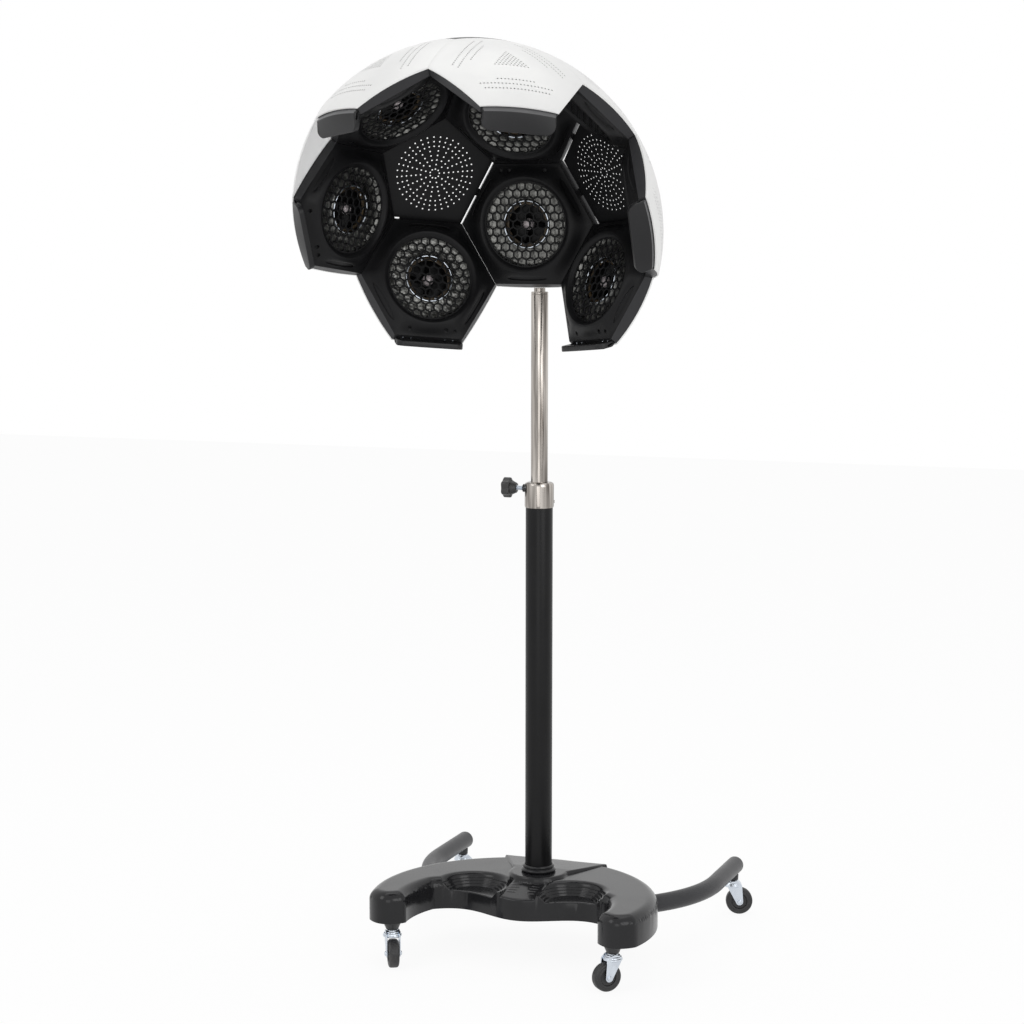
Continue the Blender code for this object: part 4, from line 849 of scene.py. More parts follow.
def put(name, mesh, body, nodes=(), matrix=IDENTITY):
    """Place one piece, let it ride its body and stand for its nodes."""
    shaped = mesh.copy()
    shaped.transform(matrix)
    piece = bpy.data.objects.new(name, shaped)
    bpy.context.scene.collection.objects.link(piece)
    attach(piece, body)
    if nodes:
        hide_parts(*nodes)


def put_on_column(name, bm, finish, body, stands_for):
    """Finish a piece that is built round the column's axis and place it."""
    put(name, finished(bm, name, [finish]), body, [stands_for], COLUMN)


# Hood modules: corners of an icosahedron name the pentagons, its triangles the hexagons


def icosahedron():
    """Unit directions: N is the top pole, U0 to U4 the upper ring and L0 to L4 the lower ring."""
    latitude = math.atan(0.5)
    corners = {"N": UP}
    for index in range(5):
        for ring, turn, sign in (("U", 72.0 * index, 1.0), ("L", 72.0 * index + 36.0, -1.0)):
            angle = math.radians(turn)
            flat = math.cos(latitude)
            corners[ring + str(index)] = Vector(
                (math.sin(angle) * flat, -math.cos(angle) * flat, sign * math.sin(latitude)))
    return corners


CORNERS = icosahedron()
MODULES = (
    ("front_right", ("N", "U0", "U1"), True),
    ("front_left", ("N", "U4", "U0"), True),
    ("upper_right", ("N", "U1", "U2"), False),
    ("upper_back", ("N", "U2", "U3"), False),
    ("upper_left", ("N", "U3", "U4"), False),
    ("side_right", ("U2", "L1", "U1"), True),
    ("back_centre", ("L2", "U3", "U2"), False),
    ("side_left", ("U3", "U4", "L3"), True),
    ("low_right", ("U2", "L2", "L1"), True),
    ("low_left", ("U3", "L3", "L2"), True),
)


def facing(axis, towards):
    """Rotation that lays Z along an axis and X towards a direction."""
    side = (towards - axis * towards.dot(axis)).normalized()
    return Matrix((side, axis.cross(side), axis)).transposed().to_4x4()


def module_spot(triangle):
    """Place of a module on the hood: Z outward, X to its first corner."""
    first, second, third = (CORNERS[name] for name in triangle)
    return HOOD @ facing((first + second + third).normalized(), first)


def pentagon_spot(corner, towards="N"):
    """Place of a pentagon on the hood: Z outward, X towards another corner."""
    return HOOD @ facing(CORNERS[corner], CORNERS[towards])


def cover_dots():
    """Centres of the dots in a cover: a filled triangle and three rows along each seam."""
    dots = []
    base = -DOT_PITCH * (TRIANGLE_DOTS - 1) * GRID_ROW_SHARE / 3.0
    for row in range(TRIANGLE_DOTS):
        count = TRIANGLE_DOTS - row
        for step in range(count):
            dots.append((base + row * DOT_PITCH * GRID_ROW_SHARE, (step - (count - 1) / 2.0) * DOT_PITCH))
    for turn in DOT_TURNS:
        for reach, count in DOT_ROWS:
            for step in range(count):
                along = (step - (count - 1) / 2.0) * DOT_PITCH
                dots.append(at_turn(math.radians(turn), reach, along))
    return dots


def dome_mesh(name, corners, plane, dots, finish, radius=HOOD_RADIUS, thickness=COVER_THICKNESS, bulge=1.0):
    """A cover raised over a flat outline to the ball or part of the way, with open dots and eased edges."""
    reach = max(math.hypot(x, y) for x, y in corners)
    inner_rim = divided(drawn_in(corners, COVER_EDGE_WIDTH / reach), COVER_SIDE_PARTS)

    def within(x, y):
        return (edge_depth(corners, x, y) > COVER_GRID_MARGIN
                and all(math.hypot(x - u, y - v) > DOT_MARGIN for u, v in dots))

    loops = [divided(corners, COVER_SIDE_PARTS)] + [circle(DOT_RADIUS, DOT_STEPS, dot) for dot in dots]
    bm = plate(loops, 0.0, 1.0, inner_rim + grid_inside(reach, COVER_GRID, within))
    for vert in bm.verts:
        flat = Vector((vert.co.x, vert.co.y, plane))
        domed = flat.lerp(flat.normalized() * radius, bulge)
        drop = COVER_EDGE_DROP if edge_depth(corners, flat.x, flat.y) < COVER_EDGE_DEPTH else 0.0
        domed -= domed.normalized() * (drop if vert.co.z > 0.5 else thickness)
        vert.co = domed
    face_outward(bm)
    return finished(bm, name, [finish], 20.0)


def grille_form():
    """Round honeycomb grille, its outer cells cut off by the rim."""
    rim = circle(GRILLE_RADIUS - GRILLE_RIM, GRILLE_STEPS)
    radius = (GRILLE_PITCH - GRILLE_RIB) / math.sqrt(3.0)

    def near(x, y):
        return math.hypot(x, y) < GRILLE_RADIUS + radius

    holes = []
    for y, x in grid_inside(GRILLE_GRID_REACH, GRILLE_PITCH, near):
        cell = clipped(circle(radius, 6, (x, y)), rim)
        if cell and area(cell) > CELL_MIN_AREA:
            holes.append(cell)
    low = GRILLE_PLANE + DISH_DEPTH
    edge = circle(GRILLE_RADIUS + GRILLE_LAP, GRILLE_STEPS)
    return plate([edge] + holes, low, low + GRILLE_THICKNESS, bevel=GRILLE_BEVEL)


def lens(turn, reach):
    """Outline of a lens-shaped slot across a direction, at a distance from the middle."""
    points = []
    for side in (1.0, -1.0):
        for step in range(SLOT_STEPS):
            along = SLOT_HALF_LENGTH * (2.0 * step / SLOT_STEPS - 1.0) * side
            bow = SLOT_HALF_WIDTH * max(0.0, 1.0 - (along / SLOT_HALF_LENGTH) ** 2) ** SLOT_BOW * side
            points.append(at_turn(turn, reach + bow, -along))
    return points


def floor_shapes():
    """Outline of a module's floor, its slots and the centres of its screws."""
    apothem = PANEL_CORNER * HEX_FLAT_SHARE
    slots = [lens(math.radians(turn), apothem - SLOT_FROM_EDGE) for turn in SLOT_TURNS]
    screws = [(SCREW_FROM_EDGE - apothem, -offset) for offset in SCREW_OFFSETS]
    return hexagon(PANEL_CORNER), slots, screws


def floor_lift(outline, x, y):
    """Rise of the floor towards the head, from nothing at its edge to full at the grille's dish."""
    depth = max(0.0, edge_depth(outline, x, y))
    share = depth / max(1e-6, depth + max(0.0, math.hypot(x, y) - DISH_RADIUS))
    return FLOOR_RISE * share * share * (3.0 - 2.0 * share)


def lifted(bm, outline):
    """A floor piece raised towards the head."""
    for vert in bm.verts:
        vert.co.z -= floor_lift(outline, vert.co.x, vert.co.y)
    return bm


def floor_points(outline, slots, screws):
    """Points that carry the floor's curve, clear of its slots and screw holes."""
    points = []
    for step in range(DISH_STEPS):
        angle = math.tau * step / DISH_STEPS
        side = (angle - math.pi / 6.0) % (math.pi / 3.0) - math.pi / 6.0
        edge = outline[0][0] / math.cos(side)
        points += [polar(edge + (DISH_RADIUS - edge) * share, angle) for share in FLOOR_SHARES]
    flat = np.array(points)
    kept = np.ones(len(points), bool)
    for slot in slots:
        kept &= ~loops_inside(flat, drawn_in(slot, -SLOT_MARGIN_SHARE))
    for x, y in screws:
        kept &= np.hypot(flat[:, 0] - x, flat[:, 1] - y) > SCREW_RADIUS + SCREW_MARGIN
    return [point for point, keep in zip(points, kept) if keep]


def floor_forms():
    """Hexagon floor rising to its dish, with slots, screws and the dish's sloping rim."""
    outline, slots, screws = floor_shapes()
    low, high = PANEL_PLANE, PANEL_PLANE + PANEL_THICKNESS
    loops = [divided(outline, PANEL_SIDE_PARTS), circle(DISH_RADIUS, DISH_STEPS)] + slots
    loops += [circle(SCREW_RADIUS, SCREW_STEPS, screw) for screw in screws]
    floor = plate(loops, low, high, floor_points(outline, slots, screws), FLOOR_BEVEL)
    forms = [(lifted(floor, outline), IDENTITY, FLOOR_PART)]
    for slot in slots:
        pocket = plate([drawn_in(slot, -POCKET_LAP_SHARE)], low + SLOT_DEPTH, high + POCKET_BACK)
        forms.append((lifted(pocket, outline), IDENTITY, FLOOR_PART))
    for x, y in screws:
        head = turned(raised(SCREW_HEAD, low), 0.0003, 2, SCREW_STEPS)
        forms.append((head, Matrix.Translation((x, y, -floor_lift(outline, x, y))), FLOOR_PART))
    forms.append((lathe(raised(DISH_SLOPE, GRILLE_PLANE), DISH_STEPS, True), IDENTITY, FLOOR_PART))
    return forms


def wall_form():
    """Side walls of a module, from the floor's edge out to the cover."""
    outer, inner = (divided(hexagon(PANEL_CORNER - inset / HEX_FLAT_SHARE), WALL_SIDE_PARTS)
                    for inset in (0.0, WALL_THICKNESS))
    bm = bmesh.new()
    rings = []
    for loop, at_cover in ((outer, False), (outer, True), (inner, True), (inner, False)):
        feet = [Vector((x, y, PANEL_PLANE + WALL_FOOT)) for x, y in loop]
        rings.append([bm.verts.new(foot.normalized() * WALL_REACH if at_cover else foot) for foot in feet])
    skin(bm, rings, True)
    return bm


def grip_section(along, inset):
    """Section of a grip at a place along it, drawn in by an inset: out from the wall, then sloping in."""
    sunk = PANEL_THICKNESS / 2.0
    slope = math.radians(GRIP_SLOPE)
    run = Vector((math.cos(slope), -math.sin(slope)))
    face = Vector((math.sin(slope), math.cos(slope)))
    past = max(0.0, abs(along) - (GRIP_LENGTH / 2.0 - GRIP_CORNER))
    reach = GRIP_REACH - GRIP_CORNER + math.sqrt(max(0.0, GRIP_CORNER ** 2 - past ** 2)) - inset
    end = Vector((GRIP_RUN, GRIP_TOP_RADIUS)) + run * reach - face * inset
    back = end - face * (GRIP_THICKNESS - 2.0 * inset)
    root = back - run * ((back.x + sunk - inset) / run.x)
    top = math.sqrt(GRIP_TOP_RADIUS ** 2 - along ** 2)
    foot = min(root.y + top - GRIP_TOP_RADIUS, top - inset - GRIP_MIN_HEIGHT)
    corners = [(inset - sunk, top - inset), (GRIP_RUN - inset, top - inset), end[:], back[:],
               (inset - sunk, foot)]
    return fillet(corners, GRIP_ROUNDING, 5)


def grip_stops():
    """Places of a grip's sections from one end to the middle: place, place that gives the shape, inset."""
    half = GRIP_LENGTH / 2.0
    eased = GRIP_EASE * 0.3
    stops = [(half - GRIP_SLOT_DEPTH, half, GRIP_SLOT_WALL), (half, half, GRIP_SLOT_WALL),
             (half, half, GRIP_EASE), (half - eased, half - eased, eased)]
    places = [half - GRIP_EASE]
    places += [half - GRIP_CORNER * (1.0 - math.sin(math.radians(turn))) for turn in GRIP_CORNER_TURNS]
    places += [(half - GRIP_CORNER) * share for share in (0.7, 0.35)]
    return stops + [(place, place, 0.0) for place in places]


def grip_form():
    """Grip along a free edge: a bent lip with round corners, a slot in each end and screws behind it."""
    stops = grip_stops()
    stops += [(0.0, 0.0, 0.0)] + [(-place, -shape, inset) for place, shape, inset in reversed(stops)]
    bm = bmesh.new()
    capped(bm, [[bm.verts.new((out, place, height)) for out, height in grip_section(shape, inset)]
                for place, shape, inset in stops])
    # Upward faces on the grip's top strip take the lighter grey, a painted highlight; the rest is plain grip
    # grey.
    for face in bm.faces:
        on_painted_highlight = face.normal.z > HIGHLIGHT_STRIP_NORMAL and face.calc_center_median().x < GRIP_RUN
        face.material_index = HIGHLIGHT_STRIP_PART if on_painted_highlight else GRIP_PART
    radial = Vector((-EDGE_SHARE * HEX_FLAT_SHARE, 0.0, HEX_PLANE_SHARE)).normalized()
    away = Vector((-radial.z, 0.0, radial.x))
    turn = Matrix((away, (0.0, 1.0, 0.0), radial)).transposed().to_4x4()
    placed = Matrix.Translation(away * -SEAM_INSET) @ turn
    forms = [(bm, placed, None)]
    lying = Matrix.Rotation(math.pi / 2.0, 4, "Y")
    for along in GRIP_SCREWS:
        for side in (1.0, -1.0):
            spot = placed @ Matrix.Translation((0.0, along * side, PANEL_RADIUS)) @ lying
            forms.append((turned(GRIP_SCREW_HEAD, 0.0004, 2, FINE_STEPS), spot, SCREW_PART))
    return forms


def panel_mesh(name, with_grip):
    """Inner panel of a module: floor, walls and grille, and a grip where the edge is free."""
    forms = floor_forms() + [(grille_form(), IDENTITY, FLOOR_PART), (wall_form(), IDENTITY, WALL_PART)]
    if with_grip:
        forms += grip_form()
    return finished(join(forms), name, [PANEL_BLACK, GRIP_GREY, PANEL_GREY, ZINC, GRIP_PAINTED_HIGHLIGHT], 30.0)


def reflector_mesh():
    """Foil ring behind a grille with a bright bead at its mouth, a brown former, screws and a dark back."""
    front = raised(FOIL_FRONT, REFLECTOR_PLANE)
    back = [(radius + FOIL_WALL, height + FOIL_WALL) for radius, height in reversed(front)]
    bead = circle(BEAD_RADIUS, FINE_STEPS, (REFLECTOR_INNER, REFLECTOR_PLANE + BEAD_HEIGHT))
    forms = [(lathe(front + back, DISH_STEPS, True), IDENTITY, FOIL_PART),
             (lathe(bead, DISH_STEPS, True), IDENTITY, BRIGHT_PART),
             (tube(*FORMER), IDENTITY, FORMER_PART), (tube(*SHIELD), IDENTITY, BACK_PART)]
    aside = Matrix.Translation((REFLECTOR_INNER - FOIL_SCREW_INSET, 0.0, 0.0))
    for turn in FOIL_SCREW_TURNS:
        screw = turned(raised(FOIL_SCREW, REFLECTOR_PLANE), 0.0004, 2, FINE_STEPS)
        forms.append((screw, Matrix.Rotation(math.radians(turn), 4, "Z") @ aside, BRIGHT_PART))
    return finished(join(forms), "reflector", [REFLECTOR, FAN_BLACK, ZINC, MICA], 50.0)


def blade_section(share):
    """Points round a fan blade at a share of its length."""
    radius = BLADE_ROOT + (FAN_RADIUS - BLADE_ROOT) * share
    pitch = math.radians(BLADE_PITCH - BLADE_TWIST * share)
    chord = BLADE_CHORD + BLADE_SPREAD * math.sin(math.pi * min(1.0, 0.25 + 0.55 * share))
    upper, lower = [], []
    for place in range(BLADE_STEPS + 1):
        along = chord * (place / BLADE_STEPS - 0.5)
        fall = (2.0 * along / chord) ** 2
        half = BLADE_HALF_THICKNESS * math.sqrt(max(0.05, 1.0 - fall))
        for side, points in ((half, upper), (-half, lower)):
            tangent, height = at_turn(pitch, along, BLADE_CAMBER * (1.0 - fall) + side)
            points.append((*polar(radius, tangent / radius), height))
    return upper + lower[::-1]


def blade_form(turn):
    """One twisted, cambered fan blade."""
    bm = bmesh.new()
    capped(bm, [[bm.verts.new(point) for point in blade_section(step / BLADE_STEPS)]
                for step in range(BLADE_STEPS + 1)])
    middle = Matrix.Translation((0.0, 0.0, BLADE_MIDDLE))
    return bm, middle @ Matrix.Rotation(turn, 4, "Z"), BLADE_PART


def fan_mesh():
    """Axial fan: domed hub with a bright cap, blades and shaft."""
    forms = [(turned(raised(FAN_HUB, FAN_START), 0.0020), IDENTITY, BLADE_PART),
             (turned(raised(FAN_CAP, FAN_START), 0.0012, 3), IDENTITY, CAP_PART)]
    for index in range(FAN_BLADES):
        forms.append(blade_form(math.tau * (index + 0.25) / FAN_BLADES))
    return finished(join(forms), "fan", [FAN_BLACK, HUB_CAP], 40.0)


def ring_dots(seam):
    """Centres of the small holes of a vent, in rings that stay clear of its seam."""
    dots = []
    for ring, count in enumerate(VENT_RING_COUNTS):
        distance = VENT_RING_PITCH * (ring + 1)
        if distance < seam - VENT_RING_MARGIN:
            dots += circle(distance, count)
    return dots


def vent_side(reach, cut, normal, half, slits):
    """Points along one side of a vent plate, from slit to slit; slits are (from, to) shares of the side."""
    points = []
    for start, end in slits:
        for share, steps in ((start, (reach, cut)), (end, (cut, reach))):
            if abs(share) < 1.0:
                points += [at_turn(normal, out, share * half) for out in steps]
    return points


def vent_corner(before, after, normal):
    """Where two neighbouring sides of a pentagon meet, each at its own distance from the middle."""
    turn = math.tau / 5.0
    return at_turn(normal, before, (after - before * math.cos(turn)) / math.sin(turn))


def vent_mesh(name, radius, slits):
    """Flat pentagon vent plate with slits along some of its sides and rings of small holes."""
    plane = radius * PENT_PLANE_SHARE
    seam = radius * PENT_RADIUS_SHARE * PENT_FLAT_SHARE
    half = seam * math.tan(math.pi / 5.0)
    reach = seam + VENT_LAP
    cut = seam - VENT_SLIT
    outline = []
    for side in range(5):
        normal = math.tau * (side + 0.5) / 5.0
        following = slits[(side + 1) % 5]
        outline += vent_side(reach, cut, normal, half, slits[side])
        ends = slits[side] and slits[side][-1][1] == 1.0
        starts = following and following[0][0] == -1.0
        outline.append(vent_corner(cut if ends else reach, cut if starts else reach, normal))
    holes = [circle(VENT_HOLE_RADIUS, VENT_HOLE_STEPS, dot) for dot in ring_dots(seam)]
    bm = plate([outline] + holes, plane, plane + VENT_THICKNESS, bevel=VENT_BEVEL)
    return finished(bm, name, [PANEL_BLACK], 30.0)


def pentagon(radius, inset):
    """Corners of a pentagon of a ball, drawn in from its seams."""
    return circle(radius * PENT_RADIUS_SHARE - inset / PENT_FLAT_SHARE, 5)


def build_pentagons():
    """The domed top vent, the two flat back vents and the plain panel at the left."""
    radius = TOP_VENT_RADIUS
    dots = ring_dots(radius * PENT_RADIUS_SHARE * PENT_FLAT_SHARE)
    dome = dome_mesh("top_vent", pentagon(radius, SEAM_INSET), radius * PENT_PLANE_SHARE, dots, PANEL_BLACK,
                     radius, VENT_THICKNESS)
    put("plate_top", dome, "hood", ["vent_top"], pentagon_spot("N", "U0"))
    open_side = [(-1.0, -VENT_TAB_SHARE), (VENT_TAB_SHARE, 1.0)]
    left = [open_side, open_side, [(VENT_CORNER_SHARE, 1.0)], [], []]
    right = [[(-end, -start) for start, end in reversed(side)] for side in reversed(left)]
    for name, corner, slits in (("back_right", "U2", right), ("back_left", "U3", left)):
        vent = vent_mesh("vent_" + name, HOOD_RADIUS - COVER_THICKNESS, slits)
        put("plate_" + name, vent, "hood", ["vent_" + name], pentagon_spot(corner))
    corners = pentagon(HOOD_RADIUS, 2.0 * SEAM_INSET)
    # The blank panel takes the lighter white: painted light over its shaded side.
    blank = dome_mesh("blank_panel", corners[:3] + corners[4:], HOOD_RADIUS * PENT_PLANE_SHARE, [],
                      THIN_WHITE_PAINTED_LIGHT, bulge=SIDE_PANEL_BULGE)
    put("blank_panel", blank, "hood", ["side_panel_left"], pentagon_spot("U4"))


def build_hood():
    """Every module with its cover, panel, reflector and fan."""
    corners = hexagon(HOOD_RADIUS * EDGE_SHARE - COVER_INSET)
    cover = dome_mesh("cover", corners, HOOD_RADIUS * HEX_PLANE_SHARE, cover_dots(), COVER_WHITE)
    panels = {True: panel_mesh("panel_grip", True), False: panel_mesh("panel_plain", False)}
    reflector = reflector_mesh()
    fan = fan_mesh()
    for name, triangle, grip in MODULES:
        spot = module_spot(triangle)
        put("shell_" + name, cover, "hood", ["cover_" + name], spot)
        put("tray_" + name, panels[grip], "hood", ["panel_" + name], spot)
        put("foil_" + name, reflector, "hood", (), spot)
        put("rotor_" + name, fan, "fan_" + name, ["fan_" + name], spot)


# Base cover: one moulded skin, worked out as a height over its plan


def arm_outline():
    """Plan of the two arms as one crescent: its outer side, one tip and its inner side."""
    outer_turn = math.degrees(math.asin((ARM_END_Y - ARM_OUTER_CENTRE_Y) / ARM_OUTER_RADIUS))
    inner_turn = math.degrees(math.asin((ARM_END_Y - ARM_INNER_CENTRE_Y) / ARM_INNER_RADIUS))
    outline = arc((0.0, ARM_OUTER_CENTRE_Y), ARM_OUTER_RADIUS, outer_turn, 180.0 - outer_turn,
                  ARM_OUTER_STEPS)
    inside = arc((0.0, ARM_INNER_CENTRE_Y), ARM_INNER_RADIUS, 180.0 - inner_turn, inner_turn,
                 ARM_INNER_STEPS)
    start, end = outline[-1][0], inside[0][0]
    tip = []
    for step in range(1, ARM_END_STEPS):
        share = step / ARM_END_STEPS
        bulge = ARM_END_BULGE * math.sin(math.pi * share) ** 0.8
        tip.append((start + (end - start) * share, ARM_END_Y - bulge))
    return outline, tip, inside


def apron_y(x):
    """Front edge of the apron between the arms: forward in the middle, hollow beside it."""
    if abs(x) <= APRON_HALF_WIDTH:
        wave = math.cos(math.pi * x / (2.0 * APRON_HALF_WIDTH)) ** 2
        return APRON_SIDE_Y + (APRON_FRONT_Y - APRON_SIDE_Y) * wave
    share = (abs(x) - APRON_HALF_WIDTH) / (APRON_END_X - APRON_HALF_WIDTH)
    return APRON_SIDE_Y + (APRON_END_Y - APRON_SIDE_Y) * share ** 2


def signed_distance(points, loop):
    """Distance of points to a closed loop, positive inside."""
    corners = np.array(loop)
    best = np.full(len(points), 1e9)
    for start, end in zip(corners, np.roll(corners, -1, axis=0)):
        edge = end - start
        share = np.clip(((points - start) @ edge) / (edge @ edge), 0.0, 1.0)
        best = np.minimum(best, np.linalg.norm(points - start - share[:, None] * edge, axis=1))
    return np.where(loops_inside(points, loop), best, -best)


def rounded_rise(depth, radius):
    """Quarter-round rise from an edge, steeply falling outside it."""
    share = np.clip(1.0 - depth / radius, 0.0, 1.0)
    return np.where(depth < 0.0, depth * 3.0, radius * np.sqrt(1.0 - share ** 2))


def smooth_max(first, second, width):
    """Greater of two heights, blended over a width."""
    share = np.clip(0.5 + 0.5 * (first - second) / width, 0.0, 1.0)
    return second + (first - second) * share + width * share * (1.0 - share)


def smooth_step(value, start, end):
    """0 before start, 1 after end, and a soft rise between."""
    share = np.clip((value - start) / (end - start), 0.0, 1.0)
    return share * share * (3.0 - 2.0 * share)


def base_loops():
    """Plans of the two round recesses, the spine and the column's plate."""
    x, y = RECESS_CENTRE
    recesses = [circle(RECESS_RADIUS, RECESS_CIRCLE_STEPS, (side * x, y)) for side in (1.0, -1.0)]
    front = APRON_FRONT_Y - SPINE_OVERRUN
    spine = [(-SPINE_FRONT_HALF_WIDTH, front), (SPINE_FRONT_HALF_WIDTH, front),
             (SPINE_BACK_HALF_WIDTH, 0.0), (-SPINE_BACK_HALF_WIDTH, 0.0)]
    nose = arc((0.0, 0.0), PLATE_NOSE_RADIUS, -190.0, 10.0, 40)
    rear = [(PLATE_REAR_HALF_WIDTH, PLATE_REAR_Y), (-PLATE_REAR_HALF_WIDTH, PLATE_REAR_Y)]
    return recesses, spine, nose + rear


def spine_heights(points, rim, ridge):
    """Height of the ribbed spine, rising from the apron's front to the column's plate."""
    slope = (PLATE_TOP_Z - SPINE_DROP - SPINE_FRONT_Z) / -APRON_FRONT_Y
    spine = SPINE_FRONT_Z + slope * (points[:, 1] - APRON_FRONT_Y)
    front = rounded_rise(np.maximum(rim, 0.0), SPINE_ROUND) - SPINE_ROUND
    spine = spine - SPINE_ROUND + rounded_rise(ridge, SPINE_ROUND) + front
    flank = 1.0 - smooth_step(np.abs(np.abs(points[:, 0]) - RIB_CENTRE_X), *RIB_FADE)
    for row in range(RIB_COUNT):
        y = RIB_FRONT_Y + RIB_PITCH * row
        spine = spine + RIB_HEIGHT * flank * np.exp(-((points[:, 1] - y) / RIB_WIDTH) ** 2)
    return spine


def base_heights(points, plan):
    """Height of the base cover's top over its plan."""
    recesses, spine_loop, plate_loop = base_loops()
    rim = signed_distance(points, plan)
    bowl = np.maximum(*(signed_distance(points, recess) for recess in recesses))
    ridge = signed_distance(points, spine_loop)
    arms = ARM_TOP_Z - ARM_CROWN + rounded_rise(rim, ARM_CROWN)
    for depth, lip in ((-bowl, RECESS_LIP), (-ridge, SPINE_LIP)):
        arms = np.minimum(arms, ARM_TOP_Z - lip + rounded_rise(depth, lip))
    floor = RECESS_FLOOR_Z - RECESS_FLOOR_LIP + rounded_rise(np.maximum(rim, 0.0), RECESS_FLOOR_LIP)
    for reach in RECESS_STEPS:
        floor = floor + RECESS_STEP * (1.0 - smooth_step(bowl, reach - STEP_BLEND, reach + STEP_BLEND))
    heights = np.maximum(arms, np.where(bowl > -RECESS_LAP, floor, 0.0))
    heights = smooth_max(heights, spine_heights(points, rim, ridge), SPINE_BLEND)
    plate_top = PLATE_TOP_Z - PLATE_ROUND + rounded_rise(signed_distance(points, plate_loop), PLATE_ROUND)
    plate_top = plate_top - PLATE_FALL * np.maximum(points[:, 1] - COLUMN_RADIUS, 0.0)
    return smooth_max(heights, plate_top, PLATE_BLEND)


def base_plan():
    """Outline of the whole base: the arms, their tips and the wavy front of the apron."""
    outline, tip, inside = arm_outline()
    far_tip = [(-x, y) for x, y in reversed(tip)]
    free = [(x, y) for x, y in inside if y < apron_y(x) and abs(x) > APRON_HALF_WIDTH]
    left = [point for point in free if point[0] < 0.0]
    right = [point for point in free if point[0] > 0.0]
    width = -left[-1][0] - APRON_END_GAP
    front = []
    for step in range(1, APRON_STEPS):
        x = width * (2.0 * step / APRON_STEPS - 1.0)
        front.append((x, apron_y(x)))
    return outline + tip + left + front + right + far_tip


def beside(loop, inset):
    """Points along a closed anticlockwise loop, drawn in by an inset."""
    corners = np.array(loop)
    along = np.roll(corners, -1, axis=0) - np.roll(corners, 1, axis=0)
    along /= np.linalg.norm(along, axis=1)[:, None]
    return corners + np.stack([-along[:, 1], along[:, 0]], axis=1) * inset


def base_grid(edges):
    """Even grid over the base, clear of the ribs, the recesses' rims and other edges."""
    grid = np.array(grid_inside(BASE_GRID_REACH, BASE_GRID,
                                lambda x, y: abs(x) < BASE_HALF_WIDTH and BASE_FRONT_Y < y < BASE_REAR_Y))
    x, y = np.abs(grid[:, 0]), grid[:, 1]
    bowl = np.hypot(x - RECESS_CENTRE[0], y - RECESS_CENTRE[1]) - RECESS_RADIUS
    off_ribs = (x > RIB_FIELD_HALF_WIDTH) | (y < RIB_FIELD_FRONT_Y) | (y > RIB_FIELD_REAR_Y)
    grid = grid[off_ribs & ((bowl < RECESS_BAND[0]) | (bowl > RECESS_BAND[1]))]
    for loop in edges:
        grid = grid[np.abs(signed_distance(grid, loop)) > EDGE_MARGIN]
    return grid


def base_points(plan):
    """Inner points of the base: a fine grid at the ribs, an even one, and rings along rims and recesses."""
    recesses, *edges = base_loops()
    ribs = [(x, y) for x in np.arange(*RIB_GRID_X) for y in np.arange(*RIB_GRID_Y)]
    groups = [np.array(ribs), base_grid(edges)]
    insets = list(RECESS_RINGS)
    for reach in RECESS_STEPS:
        insets += [reach + offset for offset in STEP_RINGS]
    for recess in recesses:
        groups += [beside(recess, inset) for inset in insets]
    for loop in edges:
        groups += [beside(divided(loop, pitch=EDGE_PITCH), inset) for inset in EDGE_RINGS]
    every = np.vstack(groups)
    every = every[signed_distance(every, plan) > BASE_GRID_MARGIN]
    every = np.vstack([every] + [beside(plan, inset) for inset in PLAN_RINGS])
    return [tuple(point) for point in every]


def base_mesh():
    """The moulded base cover: its top, its skirt and its wall thickness."""
    plan = base_plan()
    passage = circle(COLUMN_RADIUS + PASSAGE_GAP, PASSAGE_STEPS)
    flat, faces = flat_faces([plan, passage], base_points(plan))
    bm = sheet([(x, y, z) for (x, y), z in zip(flat, base_heights(flat, plan))], faces)
    drop_loose(bm)
    rim = [edge for edge in bm.edges if edge.is_boundary
           and min(vert.co.xy.length for vert in edge.verts) > COLUMN_RADIUS + PASSAGE_MARGIN]
    drawn = bmesh.ops.extrude_edge_only(bm, edges=rim)
    for item in drawn["geom"]:
        if isinstance(item, bmesh.types.BMVert):
            item.co.z = COVER_BOTTOM_Z
    face_outward(bm)
    if sum(face.normal.z * face.calc_area() for face in bm.faces) < 0.0:
        bmesh.ops.reverse_faces(bm, faces=bm.faces[:])
    bmesh.ops.solidify(bm, geom=bm.faces[:], thickness=BASE_WALL)
    return finished(bm, "base_skin", [GLOSS_BLACK], 40.0)


# Leg, castors, column and neck


def leg_route():
    """Centre line of the rear leg: across under the column, round two bends and straight back."""
    centre = (LEG_HALF_TRACK - LEG_BEND_RADIUS, LEG_FRONT_Y + LEG_BEND_RADIUS)
    right = arc(centre, LEG_BEND_RADIUS, -90.0, 0.0, 32)
    right += [(LEG_HALF_TRACK, LEG_END_Y - LEG_END_RING), (LEG_HALF_TRACK, LEG_END_Y)]
    return [(-x, y) for x, y in reversed(right)] + right


def leg_mesh():
    """Bent leg tube with the castor stems under its ends."""
    route = [Vector((x, y, LEG_Z)) for x, y in leg_route()]
    bm = bmesh.new()
    outer, inner = [], []
    for index, point in enumerate(route):
        along = (route[min(index + 1, len(route) - 1)] - route[max(index - 1, 0)]).normalized()
        side = Vector((along.y, -along.x, 0.0))
        for radius, rings in ((LEG_RADIUS, outer), (LEG_RADIUS - LEG_WALL, inner)):
            rings.append([bm.verts.new(point + side * x + Vector((0.0, 0.0, y)))
                          for x, y in circle(radius, SMALL_STEPS)])
    skin(bm, outer + inner[::-1], True)
    forms = [(bm, COLUMN, 0)]
    for sign in (-1.0, 1.0):
        place = COLUMN @ Matrix.Translation((sign * LEG_HALF_TRACK, REAR_CASTOR_Y, 0.0))
        forms.append((turned(LEG_STEM, 0.0012), place, 0))
    return finished(join(forms), "leg", [LEG_PAINT], 40.0)


